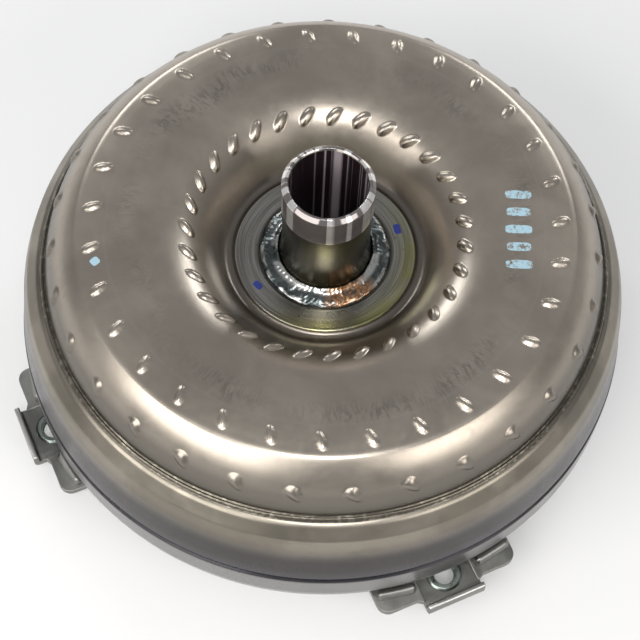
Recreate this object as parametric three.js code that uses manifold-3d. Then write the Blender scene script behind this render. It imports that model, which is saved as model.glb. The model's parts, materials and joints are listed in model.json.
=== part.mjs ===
// A torque converter with lock-up clutch, in millimetres.
// +Z is the axis, and the pump hub points up. The origin is the centre of the pilot boss's end face.
import * as THREE from 'three';
import { mergeVertices } from 'three/addons/utils/BufferGeometryUtils.js';
import Module from 'manifold-3d';

const wasm = await Module();
wasm.setup();

// ---------- driving dimensions ----------

const GAP = 0.3;               // between pieces that touch
const HUB_TOP = 145.7;         // pump hub's end face
const HUB_OD = 40;             // pump hub's journal
const HUB_BORE = 33.2;
const COVER_BOTTOM = 17.5;     // cover's face towards the flex plate
const COVER_OD = 280.4;
const COVER_SHEET = 4.5;
const SHELL_TOP = 112.8;       // highest ring of the impeller shell
const SHELL_RIM_R = 125.3;     // impeller shell where it enters the cover
const SHELL_SHEET = 4;
const SHOULDER_CENTRE = [89.6, 81.3];  // centre of the shell's shoulder, as [radius, height]
const SHOULDER_R = 36;
const SEAM_Z = 86.2;
const SHELL_END_Z = 76.5;      // the shell's edge, inside the cover
const RING_Z = 89.6;           // flat ring of the shell round the hub
const TORUS_MID_Z = 75;        // plane between impeller and turbine
const TORUS_MID_R = 88;        // centre of the flow circle

const LUG_COUNT = 4;
const BOLT_CIRCLE = 275;
const THREAD_MINOR_R = 4.6;    // weld nut's hole, for an M10 bolt
const NUT_R = 8;
const LUG_SHEET = 4;
const LUG_TOP = COVER_BOTTOM - GAP;

const IMPELLER_BLADES = 31;
const TURBINE_BLADES = 29;
const STATOR_BLADES = 13;

const HUB_RIVETS = 6;
const HUB_RIVET_CIRCLE_R = 45.5;
const DAMPER_SPRINGS = 6;
const SPRING_CIRCLE_R = 108;
const SPRING_Z = 37.5;
const SPRING_D = 13;
const SPRING_LENGTH = 46;
const SPRING_WIRE = 2.8;
const SPRING_TURNS = 6;        // coils in each spring
const ROLLERS = 6;
const ROLLER_D = 6.8;
const INNER_RACE_R = 26.5;
const NEEDLES = 8;             // needles in each thrust bearing
const NEEDLE_R = 1.3;
const NEEDLE_LENGTH = 8;
const NEEDLE_CIRCLE_R = 33.5;
const BLADE_SHEET = 1.3;

const LARGE = 28;              // facets round the shells
const MEDIUM = 30;             // facets round the discs of the damper
const HUB_FACETS = 24;         // facets round the hubs
const STATOR_FACETS = 26;      // two for each stator vane
const SMALL = 20;              // facets round races, seals and washers
const RIVET_FACETS = 6;
const ROLLER_FACETS = 10;
const NUT_FACETS = 16;

// ---------- helpers ----------

const TURN = 2 * Math.PI;
const radians = (degrees) => degrees * Math.PI / 180;

// The geometry with shared vertices merged, and its faces turned outwards.
function closed(geometry) {
  const bare = new THREE.BufferGeometry();
  bare.setAttribute('position', geometry.getAttribute('position').clone());
  if (geometry.index) bare.setIndex(geometry.index.clone());
  const merged = mergeVertices(bare, 1e-4);
  const position = merged.getAttribute('position');
  const kept = [];
  let volume = 0;
  for (let i = 0; i < merged.index.count; i += 3) {
    const corners = [0, 1, 2].map((k) => merged.index.getX(i + k));
    if (new Set(corners).size < 3) continue;
    const [a, b, c] = corners.map((k) => new THREE.Vector3().fromBufferAttribute(position, k));
    volume += a.dot(b.cross(c)) / 6;
    kept.push(corners);
  }
  merged.setIndex(kept.map((t) => (volume < 0 ? [t[0], t[2], t[1]] : t)).flat());
  return merged;
}

function solid(geometry) {
  const merged = closed(geometry);
  return new wasm.Manifold(new wasm.Mesh({
    numProp: 3,
    vertProperties: merged.getAttribute('position').array,
    triVerts: new Uint32Array(merged.index.array),
  }));
}

function geometryOf(manifold) {
  const mesh = manifold.asOriginal().simplify(0.01).getMesh();
  const geometry = new THREE.BufferGeometry();
  geometry.setAttribute('position', new THREE.BufferAttribute(mesh.vertProperties, 3));
  geometry.setIndex(new THREE.BufferAttribute(mesh.triVerts, 1));
  return geometry;
}

const union = (parts) => parts.reduce((all, part) => all.add(part));
const cut = (body, tools) => body.subtract(union(tools));

// A ring or disc from its closed section, given as [radius, height] points.
function turned(section, facets) {
  const points = section.map(([r, z]) => new THREE.Vector2(r, z));
  points.push(points[0].clone());
  return closed(new THREE.LatheGeometry(points, facets).rotateX(Math.PI / 2));
}

// A plain ring of rectangular section.
const ring = (inner, outer, low, high, facets) =>
  turned([[inner, low], [outer, low], [outer, high], [inner, high]], facets);

// A flat outline of [x, y] points, from one height to another.
function plate(outline, low, high) {
  const shape = new THREE.Shape(outline.map(([x, y]) => new THREE.Vector2(x, y)));
  const geometry = new THREE.ExtrudeGeometry(shape, { depth: high - low, bevelEnabled: false });
  return closed(geometry.translate(0, 0, low));
}

// A round bar along Z.
function bar(radius, low, high, facets, x = 0, y = 0) {
  const geometry = new THREE.CylinderGeometry(radius, radius, high - low, facets);
  return closed(geometry.rotateX(Math.PI / 2).translate(x, y, (low + high) / 2));
}

// Points of a round stretch of a section, between two angles in degrees.
function arc([r, z], radius, start, end, steps) {
  return Array.from({ length: steps + 1 }, (_, i) => {
    const angle = radians(start + (end - start) * i / steps);
    return [r + radius * Math.cos(angle), z + radius * Math.sin(angle)];
  });
}

const polar = (r, angle) => [r * Math.cos(angle), r * Math.sin(angle)];
const around = (count, make) => Array.from({ length: count }, (_, i) => make(i * TURN / count, i));
const spun = (geometry, angle) => geometry.clone().rotateZ(angle);

const converter = new THREE.Group();
converter.name = 'torque_converter';

function add(name, geometry, look) {
  const flat = geometry.index ? geometry.toNonIndexed() : geometry;
  flat.computeVertexNormals();
  const mesh = new THREE.Mesh(flat, look);
  mesh.name = name;
  converter.add(mesh);
  return mesh;
}

const metal = (color, roughness) =>
  new THREE.MeshStandardMaterial({ color, roughness, metalness: 1 });
const looks = {
  pressed: metal(0x8d867c, 0.42),
  machined: metal(0xc4c2bd, 0.2),
  weld: metal(0xa09a90, 0.35),
  bracket: metal(0x77766f, 0.5),
  plated: metal(0x9aa79c, 0.35),
  stamped: metal(0x85817a, 0.5),
  cast: metal(0xb5b6b8, 0.55),
  spring: metal(0x4a4744, 0.4),
  bearing: metal(0xbdbec0, 0.25),
  lining: new THREE.MeshStandardMaterial({ color: 0x4b3a2a, roughness: 0.95, metalness: 0 }),
  polymer: new THREE.MeshStandardMaterial({ color: 0x1f1d1b, roughness: 0.6, metalness: 0 }),
};

// ---------- housing: front cover, impeller shell, hub ----------

function frontCover() {
  const wall = COVER_OD / 2;
  const inside = COVER_BOTTOM + COVER_SHEET;
  return turned([
    [15.3, COVER_BOTTOM], [40, COVER_BOTTOM], [48, 21.5], [76, 21.5], [84, COVER_BOTTOM],
    [129, COVER_BOTTOM], [137.6, 22.5], [wall, 31], [wall, 45], [wall - 1.6, 46.6],
    [wall - 0.5, 48.2], [136.4, 71], [134.2, 77.4], [128.4, 84.2], [SHELL_RIM_R + 0.6, 85.2],
    [SHELL_RIM_R + 0.6, 79.5], [131.4, 71], [135.2, 46], [135.5, 32], [127, inside],
    [85, inside], [77, inside + 4], [49, inside + 4], [42, inside], [15.3, inside],
  ], LARGE);
}

function impellerShell() {
  const inside = SHELL_RIM_R - SHELL_SHEET;
  return turned([
    [26, RING_Z], [40.4, RING_Z], [42, 88.4], [46, 89.2], [54, 101], [61.1, 106.9], [72, 111.4],
    [84, SHELL_TOP], ...arc(SHOULDER_CENTRE, SHOULDER_R, 58.7, 7.8, 4),
    [SHELL_RIM_R, SHELL_END_Z], [inside, SHELL_END_Z],
    ...arc(SHOULDER_CENTRE, SHOULDER_R - SHELL_SHEET, 8.8, 55, 3), [84, 108.8], [72, 107.3],
    [61.5, 102.2], [52.5, 91.5], [47.4, 84.9], [26, 84.9],
  ], LARGE);
}

function pumpHub() {
  const journal = HUB_OD / 2;
  const bore = HUB_BORE / 2;
  return turned([
    [bore, 82], [25.7, 82], [25.7, RING_Z], [22.4, RING_Z], [20.4, 94], [19.5, 99], [19.5, 128.2],
    [journal, 128.7], [journal, HUB_TOP - 1.8], [journal - 1.8, HUB_TOP], [bore + 0.8, HUB_TOP],
    [bore, HUB_TOP - 0.8],
  ], HUB_FACETS);
}

const hubWeld = () =>
  turned([[22.9, 89.9], [28.8, 89.9], [27.4, 92.2], [23.2, 92.2]], HUB_FACETS);

const closureWeld = () =>
  turned([[SHELL_RIM_R + 0.3, SEAM_Z - 0.7], [127.6, 84.85], [127.2, 86.4], [125.55, 87]], LARGE);

// The boss that centres the converter in the crankshaft, with a spigot through the cover.
const pilotBoss = () => turned([
  [0, 0], [15.5, 0], [17, 1.5], [17, 11], [26, 13], [26, COVER_BOTTOM - GAP],
  [15, COVER_BOTTOM - GAP], [15, 21.8], [0, 21.8],
], SMALL);

// ---------- housing: drive lugs and nuts ----------

const LUG_REACH = 150.5;       // outer edge of the middle tab
const LUG_EAR = 144.5;         // outer edge of the ears
const LUG_HALF = 34;           // half the bracket's length
const LUG_INNER_R = 112;
const TAB_HALF = 13.5;
const LIP_HEIGHT = 5;

// A flat bracket with two ears, a raised seat against the cover, and a tab with an upturned lip.
function driveLug() {
  const low = LUG_TOP - LUG_SHEET;
  const half = [
    [LUG_REACH, TAB_HALF], [LUG_EAR + 1.5, TAB_HALF], [LUG_EAR, TAB_HALF + 2],
    [LUG_EAR, LUG_HALF - 5], [LUG_EAR - 1.5, LUG_HALF - 1.5], [LUG_EAR - 5, LUG_HALF],
    [122, LUG_HALF], [LUG_INNER_R, 22],
  ];
  const mirrored = half.map(([x, y]) => [x, -y]).reverse();
  const base = solid(plate([...mirrored, ...half], low, LUG_TOP));
  const lip = solid(new THREE.BoxGeometry(2.6, 2 * TAB_HALF + 1.5, LUG_SHEET + LIP_HEIGHT)
    .translate(LUG_REACH - 0.3, 0, low + (LUG_SHEET + LIP_HEIGHT) / 2));
  const bolt = BOLT_CIRCLE / 2;
  const hole = solid(bar(NUT_R + GAP, low - 1, LUG_TOP + 1, NUT_FACETS, bolt, 0));
  return cut(union([base, lip]), [hole]);
}

// A round weld nut, set into the lug's hole.
function driveNut() {
  const low = LUG_TOP - LUG_SHEET;
  const bolt = BOLT_CIRCLE / 2;
  const collar = solid(bar(NUT_R, low + 0.4, LUG_TOP - 0.1, NUT_FACETS, bolt, 0));
  const thread = solid(bar(THREAD_MINOR_R, low - 1, LUG_TOP + 1, NUT_FACETS, bolt, 0));
  return cut(collar, [thread]);
}

// ---------- blades ----------

// The middle of a core ring's sheet, as [radius, height from the mid plane] points.
const CORE_PATH = [[73, 2.5], [78.5, 12.5], [97.5, 12.5], [103, 2.5]];
const CORE_SHEET = 1.4;

// The ring that joins the blades' inner edges, with one facet for each blade.
function coreRing(side, facets, turnedBy) {
  const section = (offset) => CORE_PATH.map(([r, h]) => [
    TORUS_MID_R + (r - TORUS_MID_R) * (1 + offset / 15),
    TORUS_MID_Z + side * (h === 2.5 ? h : h + offset),
  ]);
  const profile = [...section(CORE_SHEET / 2), ...section(-CORE_SHEET / 2).reverse()];
  return spun(turned(profile, facets), turnedBy);
}

// A thin blade between two paths of [radius, height] points, with an angle in degrees at each point.
function blade(outerPath, innerPath, angles, thickness) {
  const points = [];
  const count = outerPath.length;
  for (const side of [-1, 1]) {
    for (const path of [outerPath, innerPath]) {
      path.forEach(([r, z], i) => {
        points.push(...polar(r, radians(angles[i]) + side * thickness / 2 / r), z);
      });
    }
  }
  const faces = [];
  const quad = (a, b, c, d) => faces.push(a, b, c, a, c, d);
  const at = (side, path, i) => (2 * side + path) * count + i;
  for (let i = 0; i + 1 < count; i += 1) {
    quad(at(0, 0, i), at(0, 0, i + 1), at(0, 1, i + 1), at(0, 1, i));
    quad(at(1, 0, i), at(1, 1, i), at(1, 1, i + 1), at(1, 0, i + 1));
    quad(at(0, 0, i), at(1, 0, i), at(1, 0, i + 1), at(0, 0, i + 1));
    quad(at(0, 1, i), at(0, 1, i + 1), at(1, 1, i + 1), at(1, 1, i));
  }
  quad(at(0, 0, 0), at(0, 1, 0), at(1, 1, 0), at(1, 0, 0));
  quad(at(0, 0, count - 1), at(1, 0, count - 1), at(1, 1, count - 1), at(0, 1, count - 1));
  const geometry = new THREE.BufferGeometry();
  geometry.setAttribute('position', new THREE.Float32BufferAttribute(points, 3));
  geometry.setIndex(faces);
  return closed(geometry);
}

// Blades round a core ring. The inner path runs in the ring's sheet.
function bladeWheel(outerPath, corePath, angles, side, count) {
  const innerPath = corePath.map(([r, h]) => [r, TORUS_MID_Z + side * h]);
  const one = blade(outerPath, innerPath, angles, BLADE_SHEET);
  const centre = radians((angles[0] + angles.at(-1)) / 2);
  const core = coreRing(side, count, TURN / 4 + centre + TURN / count / 2);
  return union([solid(core), ...around(count, (angle) => solid(spun(one, angle)))]);
}

// Angles where an impeller blade meets the shell, at its three rings of embossed tabs.
const TAB_ANGLES = { inner: 1.8, middle: -1.9, outer: -6.8 };
const [CORE_INLET, CORE_INNER, CORE_OUTER, CORE_OUTLET] = CORE_PATH;

const impellerBlades = () => bladeWheel(
  [[61.5, 88], [64.8, 102.6], [88, 107.9], [109.5, 104.4], [119.6, 84]],
  [CORE_INLET, CORE_INNER, [88, 12.5], CORE_OUTER, CORE_OUTLET],
  [TAB_ANGLES.inner, TAB_ANGLES.inner, TAB_ANGLES.middle / 2, -4, TAB_ANGLES.outer],
  1, IMPELLER_BLADES);

const turbineBlades = () => bladeWheel(
  [[58.5, 52.7], [86, 47], [107, 54.8], [115.8, 71]],
  [CORE_INNER, [88, 12.5], CORE_OUTER, CORE_OUTLET],
  [-4, -1, 1, 5], -1, TURBINE_BLADES);

// ---------- turbine ----------

const RIVET_HOLE_R = 2.8;
const rivetHoles = (low, high) => around(HUB_RIVETS, (angle) =>
  solid(spun(bar(RIVET_HOLE_R, low, high, RIVET_FACETS, HUB_RIVET_CIRCLE_R, 0), angle)));

function turbineShell() {
  const body = turned([
    [40.2, 50.3], [55, 50.3], [70, 45.6], [86, 44], [101, 46.8], [113.5, 55.5], [120.3, 74],
    [118.3, 74], [111.9, 56.6], [100.3, 48.7], [86, 46.1], [70.5, 47.6], [55.5, 52.3], [40.2, 52.3],
  ], LARGE);
  return cut(solid(body), rivetHoles(48, 54));
}

// The bore of a splined hub, as an outline of teeth between two radii.
function splineOutline(teeth, low, high) {
  const outline = [];
  around(teeth, (angle) => {
    const step = TURN / teeth;
    outline.push(polar(high, angle - 0.18 * step), polar(high, angle + 0.18 * step));
    outline.push(polar(low, angle + 0.32 * step), polar(low, angle + 0.68 * step));
  });
  return outline;
}

function turbineHub() {
  const body = turned([
    [8, 26], [20.5, 26], [22, 27.5], [22, 45.6], [50, 45.6], [50, 50], [24, 50], [24, 56.2], [8, 56.2],
  ], HUB_FACETS);
  const spline = solid(plate(splineOutline(14, 11.2, 12.6), 25, 58));
  return cut(solid(body), [spline, ...rivetHoles(44, 52)]);
}

// One rivet through driven plate, hub flange and turbine shell.
function hubRivet(angle) {
  const profile = [
    [0, 40.9], [2.6, 40.9], [4.1, 42.5], [2.4, 42.5], [2.4, 52.6], [4.1, 52.6], [2.6, 54.1], [0, 54.1],
  ];
  return spun(turned(profile, RIVET_FACETS).translate(HUB_RIVET_CIRCLE_R, 0, 0), angle);
}

// ---------- damper ----------

const PLATE_INNER_R = 93;
const PLATE_OUTER_R = 124;
const SPACER_RIVET_R = 120;
const WINDOW_WIDTH = 11.4;
const DRIVEN_ARM_R = 115.5;

const springBox = (radialLow, radialHigh, length, low, high, angle) => {
  const box = new THREE.BoxGeometry(radialHigh - radialLow, length, high - low);
  box.translate((radialLow + radialHigh) / 2, 0, (low + high) / 2);
  return solid(box.rotateZ(angle));
};

// The plate that carries the torque to the turbine hub: a dished disc with an arm between each two springs.
function drivenPlate() {
  const body = turned([
    [38, 42.8], [50, 42.8], [62, 36], [DRIVEN_ARM_R, 36], [DRIVEN_ARM_R, 39], [63, 39],
    [51, 45.3], [38, 45.3],
  ], MEDIUM);
  const inner = SPRING_CIRCLE_R - SPRING_D / 2 - 1.2;
  const notches = around(DAMPER_SPRINGS, (angle) =>
    springBox(inner, 130, SPRING_LENGTH + 2 * GAP, 34, 41, angle));
  return cut(solid(body), [...notches, ...rivetHoles(41, 47)]);
}

// One of the two plates that hold the springs, with a window over each spring.
function drivePlate(low, high, teeth) {
  let body = solid(ring(PLATE_INNER_R, PLATE_OUTER_R, low, high, MEDIUM));
  if (teeth) {
    const fingers = around(DAMPER_SPRINGS, (angle) =>
      springBox(PLATE_OUTER_R - 3, 129, 14, low, high, angle + TURN / 24));
    body = union([body, ...fingers]);
  }
  const windows = around(DAMPER_SPRINGS, (angle) => springBox(
    SPRING_CIRCLE_R - WINDOW_WIDTH / 2, SPRING_CIRCLE_R + WINDOW_WIDTH / 2,
    SPRING_LENGTH + 2 * GAP, low - 1, high + 1, angle));
  const hole = bar(2.6, low - 1, high + 1, RIVET_FACETS, SPACER_RIVET_R, 0);
  const holes = around(DAMPER_SPRINGS, (angle) => solid(spun(hole, angle + TURN / 12)));
  return cut(body, [...windows, ...holes]);
}

class Helix extends THREE.Curve {
  constructor(radius, length, turns) {
    super();
    Object.assign(this, { radius, length, turns });
  }

  getPoint(t, target = new THREE.Vector3()) {
    const angle = t * this.turns * TURN;
    const along = (t - 0.5) * this.length;
    return target.set(this.radius * Math.cos(angle), along, this.radius * Math.sin(angle));
  }
}

function damperSpring(angle) {
  const wire = SPRING_WIRE / 2;
  const section = new THREE.Shape(
    [0, 1, 2].map((k) => new THREE.Vector2(...polar(wire, TURN * (k + 0.5) / 3))));
  const path = new Helix(SPRING_D / 2 - wire, SPRING_LENGTH - SPRING_WIRE, SPRING_TURNS);
  const coil = new THREE.ExtrudeGeometry(
    section, { steps: SPRING_TURNS * 6, extrudePath: path, bevelEnabled: false });
  return closed(coil.translate(SPRING_CIRCLE_R, 0, SPRING_Z).rotateZ(angle));
}

function spacerRivet(angle) {
  const profile = [
    [0, 29.6], [2.4, 29.6], [3.6, 31], [2.1, 31], [2.1, 44], [3.6, 44], [2.4, 45.4], [0, 45.4],
  ];
  return spun(turned(profile, RIVET_FACETS).translate(SPACER_RIVET_R, 0, 0), angle);
}

// ---------- lock-up piston ----------

function lockupPiston() {
  const body = turned([
    [22.8, 30], [79, 30], [88, 24.6], [125.5, 24.6], [129.5, 29], [129.5, 36], [126.6, 36],
    [126.6, 28.1], [89.5, 28.1], [80.5, 33.5], [28, 33.5], [28, 41], [22.8, 41],
    [22.8, 36.8], [25.2, 36.8], [25.2, 33.7], [22.8, 33.7],
  ], MEDIUM);
  const slots = around(DAMPER_SPRINGS, (angle) =>
    springBox(125.5, 132, 15, 30.6, 38, angle + TURN / 24));
  return cut(solid(body), slots);
}

// ---------- stator and one-way clutch ----------

const STATOR_HUB_R = 52;
const SHROUD_R = 69.2;

// One stator vane: a cambered section, thick at its leading edge, drawn from hub to shroud.
function statorVane() {
  const section = [[-8, 0], [-5, 2.4], [7.5, 5.6], [7.8, 4.8], [-4, -2.2]];
  const shape = new THREE.Shape(section.map(([x, y]) => new THREE.Vector2(x, y)));
  const length = SHROUD_R - STATOR_HUB_R + 2;
  const vane = new THREE.ExtrudeGeometry(shape, { depth: length, bevelEnabled: false });
  vane.rotateY(Math.PI / 2);
  return closed(vane.translate(STATOR_HUB_R - 1, -2, 70.5));
}

function statorWheel() {
  const hub = turned([
    [30, 55.9], [46, 55.9], [STATOR_HUB_R, 59], [STATOR_HUB_R, 81], [50.5, 82.4], [44, 82.4],
    [44, 81.6], [45.8, 81.6], [45.8, 80], [44, 80], [44, 58.4], [30, 58.4],
  ], STATOR_FACETS);
  const shroud = ring(SHROUD_R, SHROUD_R + 2, 64, 77, STATOR_FACETS);
  const vane = statorVane();
  const vanes = around(STATOR_BLADES, (angle) => solid(spun(vane, angle)));
  return union([solid(hub), solid(shroud), ...vanes]);
}

// The ring with a ramp for each roller.
function outerRace() {
  const outline = [];
  around(ROLLERS, (angle) => {
    const at = (r, degrees) => outline.push(polar(r, angle + radians(degrees)));
    at(32.6, -30);
    at(32.6, -22);
    at(35.2, -14);
    at(34.9, -4);
    at(34.3, 12);
    at(32.6, 14);
  });
  const body = solid(ring(30, 43.7, 60.2, 76.6, STATOR_FACETS));
  return cut(body, [solid(plate(outline, 59, 78))]);
}

const roller = (angle) =>
  spun(bar(ROLLER_D / 2, 62.4, 76, ROLLER_FACETS, INNER_RACE_R + GAP + ROLLER_D / 2 + 0.1, 0), angle);

// The ring that keeps the rollers apart, with a pocket for each.
function rollerCage() {
  const body = solid(ring(27.6, 31.6, 60.4, 76.4, SMALL));
  const pockets = around(ROLLERS, (angle) => springBox(26, 34, ROLLER_D + 1, 62, 78, angle));
  return cut(body, pockets);
}

function innerRace() {
  const body = ring(10, INNER_RACE_R, 59, 79.8, MEDIUM);
  return cut(solid(body), [solid(plate(splineOutline(18, 13.9, 15.3), 58, 81))]);
}

// A thrust bearing's cage with its needles.
function bearingCage(low) {
  const needle = new THREE.CylinderGeometry(NEEDLE_R, NEEDLE_R, NEEDLE_LENGTH, 4, 1);
  needle.rotateZ(Math.PI / 2).translate(NEEDLE_CIRCLE_R, 0, low + 0.8);
  const needles = around(NEEDLES, (angle) => solid(spun(closed(needle), angle)));
  return union([solid(ring(27.8, 39.2, low, low + 1.6, SMALL)), ...needles]);
}

// ---------- plain rings ----------

// Each as [inner radius, outer radius, low, high, facets].
const RINGS = {
  cover_thrust_washer: [14, 24, 22.4, 25.5, SMALL],
  rear_thrust_race: [27.5, 40, 83.1, 84.6, SMALL],
  front_thrust_race: [27.5, 39.6, 50.3, 51.8, SMALL],
  friction_lining: [103, 124, 23.2, 24.3, MEDIUM],
  piston_seal: [22.5, 24.9, 34, 36.5, SMALL],
  stator_end_plate: [27.5, 43.6, 76.9, 79.7, STATOR_FACETS],
  snap_ring: [41.5, 45.5, 80.2, 81.4, STATOR_FACETS],
};
const addRing = (name, look) => add(name, ring(...RINGS[name]), look);

const REAR_CAGE_Z = 80.8;      // underside of each bearing cage
const FRONT_CAGE_Z = 53;
const FRONT_DRIVE_PLATE_Z = [31.3, 33.3];
const REAR_DRIVE_PLATE_Z = [41.7, 43.7];

// ---------- assembly ----------

add('front_cover', frontCover(), looks.pressed);
add('impeller_shell', impellerShell(), looks.pressed);
add('pump_hub', pumpHub(), looks.machined);
add('hub_weld', hubWeld(), looks.weld);
add('closure_weld', closureWeld(), looks.weld);
add('pilot_boss', pilotBoss(), looks.machined);
add('impeller_blades', geometryOf(impellerBlades()), looks.stamped);
const lug = geometryOf(driveLug());
const nut = geometryOf(driveNut());
around(LUG_COUNT, (angle, i) => {
  add(`drive_lug_${i + 1}`, spun(lug, angle), looks.bracket);
  add(`drive_nut_${i + 1}`, spun(nut, angle), looks.plated);
});
addRing('cover_thrust_washer', looks.polymer);
addRing('rear_thrust_race', looks.bearing);
add('rear_bearing_cage', geometryOf(bearingCage(REAR_CAGE_Z)), looks.bearing);

add('turbine_shell', geometryOf(turbineShell()), looks.stamped);
add('turbine_blades', geometryOf(turbineBlades()), looks.stamped);
add('turbine_hub', geometryOf(turbineHub()), looks.machined);
around(HUB_RIVETS, (angle, i) => add(`hub_rivet_${i + 1}`, hubRivet(angle), looks.stamped));
add('driven_plate', geometryOf(drivenPlate()), looks.stamped);
addRing('front_thrust_race', looks.bearing);
add('front_bearing_cage', geometryOf(bearingCage(FRONT_CAGE_Z)), looks.bearing);

add('front_drive_plate', geometryOf(drivePlate(...FRONT_DRIVE_PLATE_Z, true)), looks.stamped);
add('rear_drive_plate', geometryOf(drivePlate(...REAR_DRIVE_PLATE_Z, false)), looks.stamped);
around(DAMPER_SPRINGS, (angle, i) => {
  add(`damper_spring_${i + 1}`, damperSpring(angle), looks.spring);
  add(`spacer_rivet_${i + 1}`, spacerRivet(angle + TURN / 12), looks.stamped);
});

add('lockup_piston', geometryOf(lockupPiston()), looks.stamped);
addRing('friction_lining', looks.lining);
addRing('piston_seal', looks.polymer);

add('stator_wheel', geometryOf(statorWheel()), looks.cast);
add('clutch_outer_race', geometryOf(outerRace()), looks.bearing);
add('clutch_roller_cage', geometryOf(rollerCage()), looks.polymer);
around(ROLLERS, (angle, i) => add(`clutch_roller_${i + 1}`, roller(angle), looks.bearing));
addRing('stator_end_plate', looks.cast);
addRing('snap_ring', looks.spring);
add('clutch_inner_race', geometryOf(innerRace()), looks.bearing);

export default converter;
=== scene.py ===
"""A torque converter with its lock-up clutch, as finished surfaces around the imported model.

Sections and outlines are in millimetres, in the model's frame: +Z is the axis, and the pump hub points up.
"""

import json
import math

import bmesh
import bpy
import numpy as np
from mathutils import Matrix, Vector


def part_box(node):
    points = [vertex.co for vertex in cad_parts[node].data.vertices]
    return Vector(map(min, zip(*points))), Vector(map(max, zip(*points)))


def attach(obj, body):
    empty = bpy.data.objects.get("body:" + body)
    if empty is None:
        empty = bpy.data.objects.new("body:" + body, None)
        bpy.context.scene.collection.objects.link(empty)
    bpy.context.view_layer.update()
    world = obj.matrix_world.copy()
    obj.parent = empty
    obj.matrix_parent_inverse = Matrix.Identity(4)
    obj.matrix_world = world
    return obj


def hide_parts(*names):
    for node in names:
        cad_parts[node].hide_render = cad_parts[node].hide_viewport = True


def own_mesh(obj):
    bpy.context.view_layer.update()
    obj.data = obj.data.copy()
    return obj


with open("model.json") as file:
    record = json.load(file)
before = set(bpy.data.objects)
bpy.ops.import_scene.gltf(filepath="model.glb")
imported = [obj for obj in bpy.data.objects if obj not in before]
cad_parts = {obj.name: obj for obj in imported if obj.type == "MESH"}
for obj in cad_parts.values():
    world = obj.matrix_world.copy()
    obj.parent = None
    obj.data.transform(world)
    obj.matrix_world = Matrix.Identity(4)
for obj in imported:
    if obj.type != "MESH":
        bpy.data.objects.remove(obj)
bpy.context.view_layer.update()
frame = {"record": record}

MM = 0.001
TURN = 2 * math.pi
BODIES = frame["record"]["behaviour"]["bodies"]
BODY_OF = {node: body for body, nodes in BODIES.items() for node in nodes}


# ---------- driving dimensions ----------

def low_of(node):
    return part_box(node)[0].z / MM


def high_of(node):
    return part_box(node)[1].z / MM


def radius_of(node):
    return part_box(node)[1].x / MM


HUB_TOP = high_of("pump_hub")
HUB_LOW = 82.0
HUB_FLANGE_R = 25.7
NECK_R = 19.5
JOURNAL_R = 20.0
BORE_R = 16.6
RING_Z = 89.6                     # flat ring round the hub
SHELL_TOP = high_of("impeller_shell")
SHELL_BORE_R = 26.0
SHELL_RIM_LOW = 76.5
RECESS_UNDERSIDE = 84.9           # the shell's inner face under the flat ring
SEAM_R = 125.3
COVER_LOW = low_of("front_cover")
COVER_R = radius_of("front_cover")
COVER_FLOOR = 22.0                # the cover's inner face
BOSS_R = 17.0
LUG_TOP = COVER_LOW - 0.3
LUG_LOW = low_of("drive_lug_1")
LIP_TOP = high_of("drive_lug_1")
LUG_REACH = radius_of("drive_lug_1")
BOLT_CIRCLE_R = 137.5
LUGS = 4
BLADES = 31
TURBINE_BLADES = 29
SHOULDER_CENTRE = (89.6, 81.3)    # the shell's shoulder is one arc, from the crown's edge to the seam
SHOULDER_R = 36.0
SHELL_SHEET = 4.0
PAD_DROP = 0.7                    # the middle of a lug lies this much under its ears
TAB_HALF = 13.5
NUT_R = 8.0
THREAD_R = 4.6
THREAD_PITCH = 1.5
THREAD_DEPTH = 0.62

FLOW_R, FLOW_Z = 88.0, 75.0       # centre of the flow circle, and the plane between impeller and turbine
CORE_PATH = [(73.0, 2.5), (78.5, 12.5), (97.5, 12.5), (103.0, 2.5)]
VANES = 13
NEEDLES = 24
ROLLERS = 6
RIVETS = 6
RIVET_CIRCLE_R = 45.5
RIVET_HOLE_R = 2.8
SPACER_CIRCLE_R = 120.0
SPRINGS = 6
SPRING_COILS = 6
SPRING_CIRCLE_R = 108.0
SPRING_Z = 37.5
SPRING_D = 13.0
SPRING_WIRE = 2.8
SPRING_LENGTH = 46.0
WINDOW_LENGTH = SPRING_LENGTH + 0.6
WINDOW_R = (100.9, 115.1)         # wider than a spring, which lies askew in its window as the damper twists
PLATE_R = 124.0
FINGER_R = 129.0
FINGER_HALF = 7.0


# ---------- meshes ----------

def closed_mesh(name, points, faces, sharp=32, scale=MM):
    """A smooth-shaded mesh in metres, from points in millimetres."""
    mesh = bpy.data.meshes.new(name)
    mesh.from_pydata(np.asarray(points, float) * scale, [], faces)
    mesh.validate()
    mesh.shade_smooth()
    mesh.set_sharp_from_angle(angle=math.radians(sharp))
    return mesh


def shown(name, data):
    """A new object in the scene."""
    thing = bpy.data.objects.new(name, data)
    bpy.context.scene.collection.objects.link(thing)
    return thing


def fit(node, part, finish, ending, sharp=32):
    """Shows a finished piece in place of one CAD node, and lets it ride on that node's body."""
    name = f"{node}_{ending}"
    thing = shown(name, closed_mesh(name, *part, sharp))
    thing.data.materials.append(finish)
    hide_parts(node)
    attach(thing, BODY_OF[node])
    return thing


def fit_all(stem, parts, finish, ending, sharp=32):
    """Shows numbered pieces that are alike."""
    return [fit(f"{stem}_{number}", part, finish, ending, sharp) for number, part in enumerate(parts, 1)]


def area_of(section):
    r, z = np.asarray(section, float).T
    return 0.5 * np.sum(r * np.roll(z, -1) - np.roll(r, -1) * z)


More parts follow.
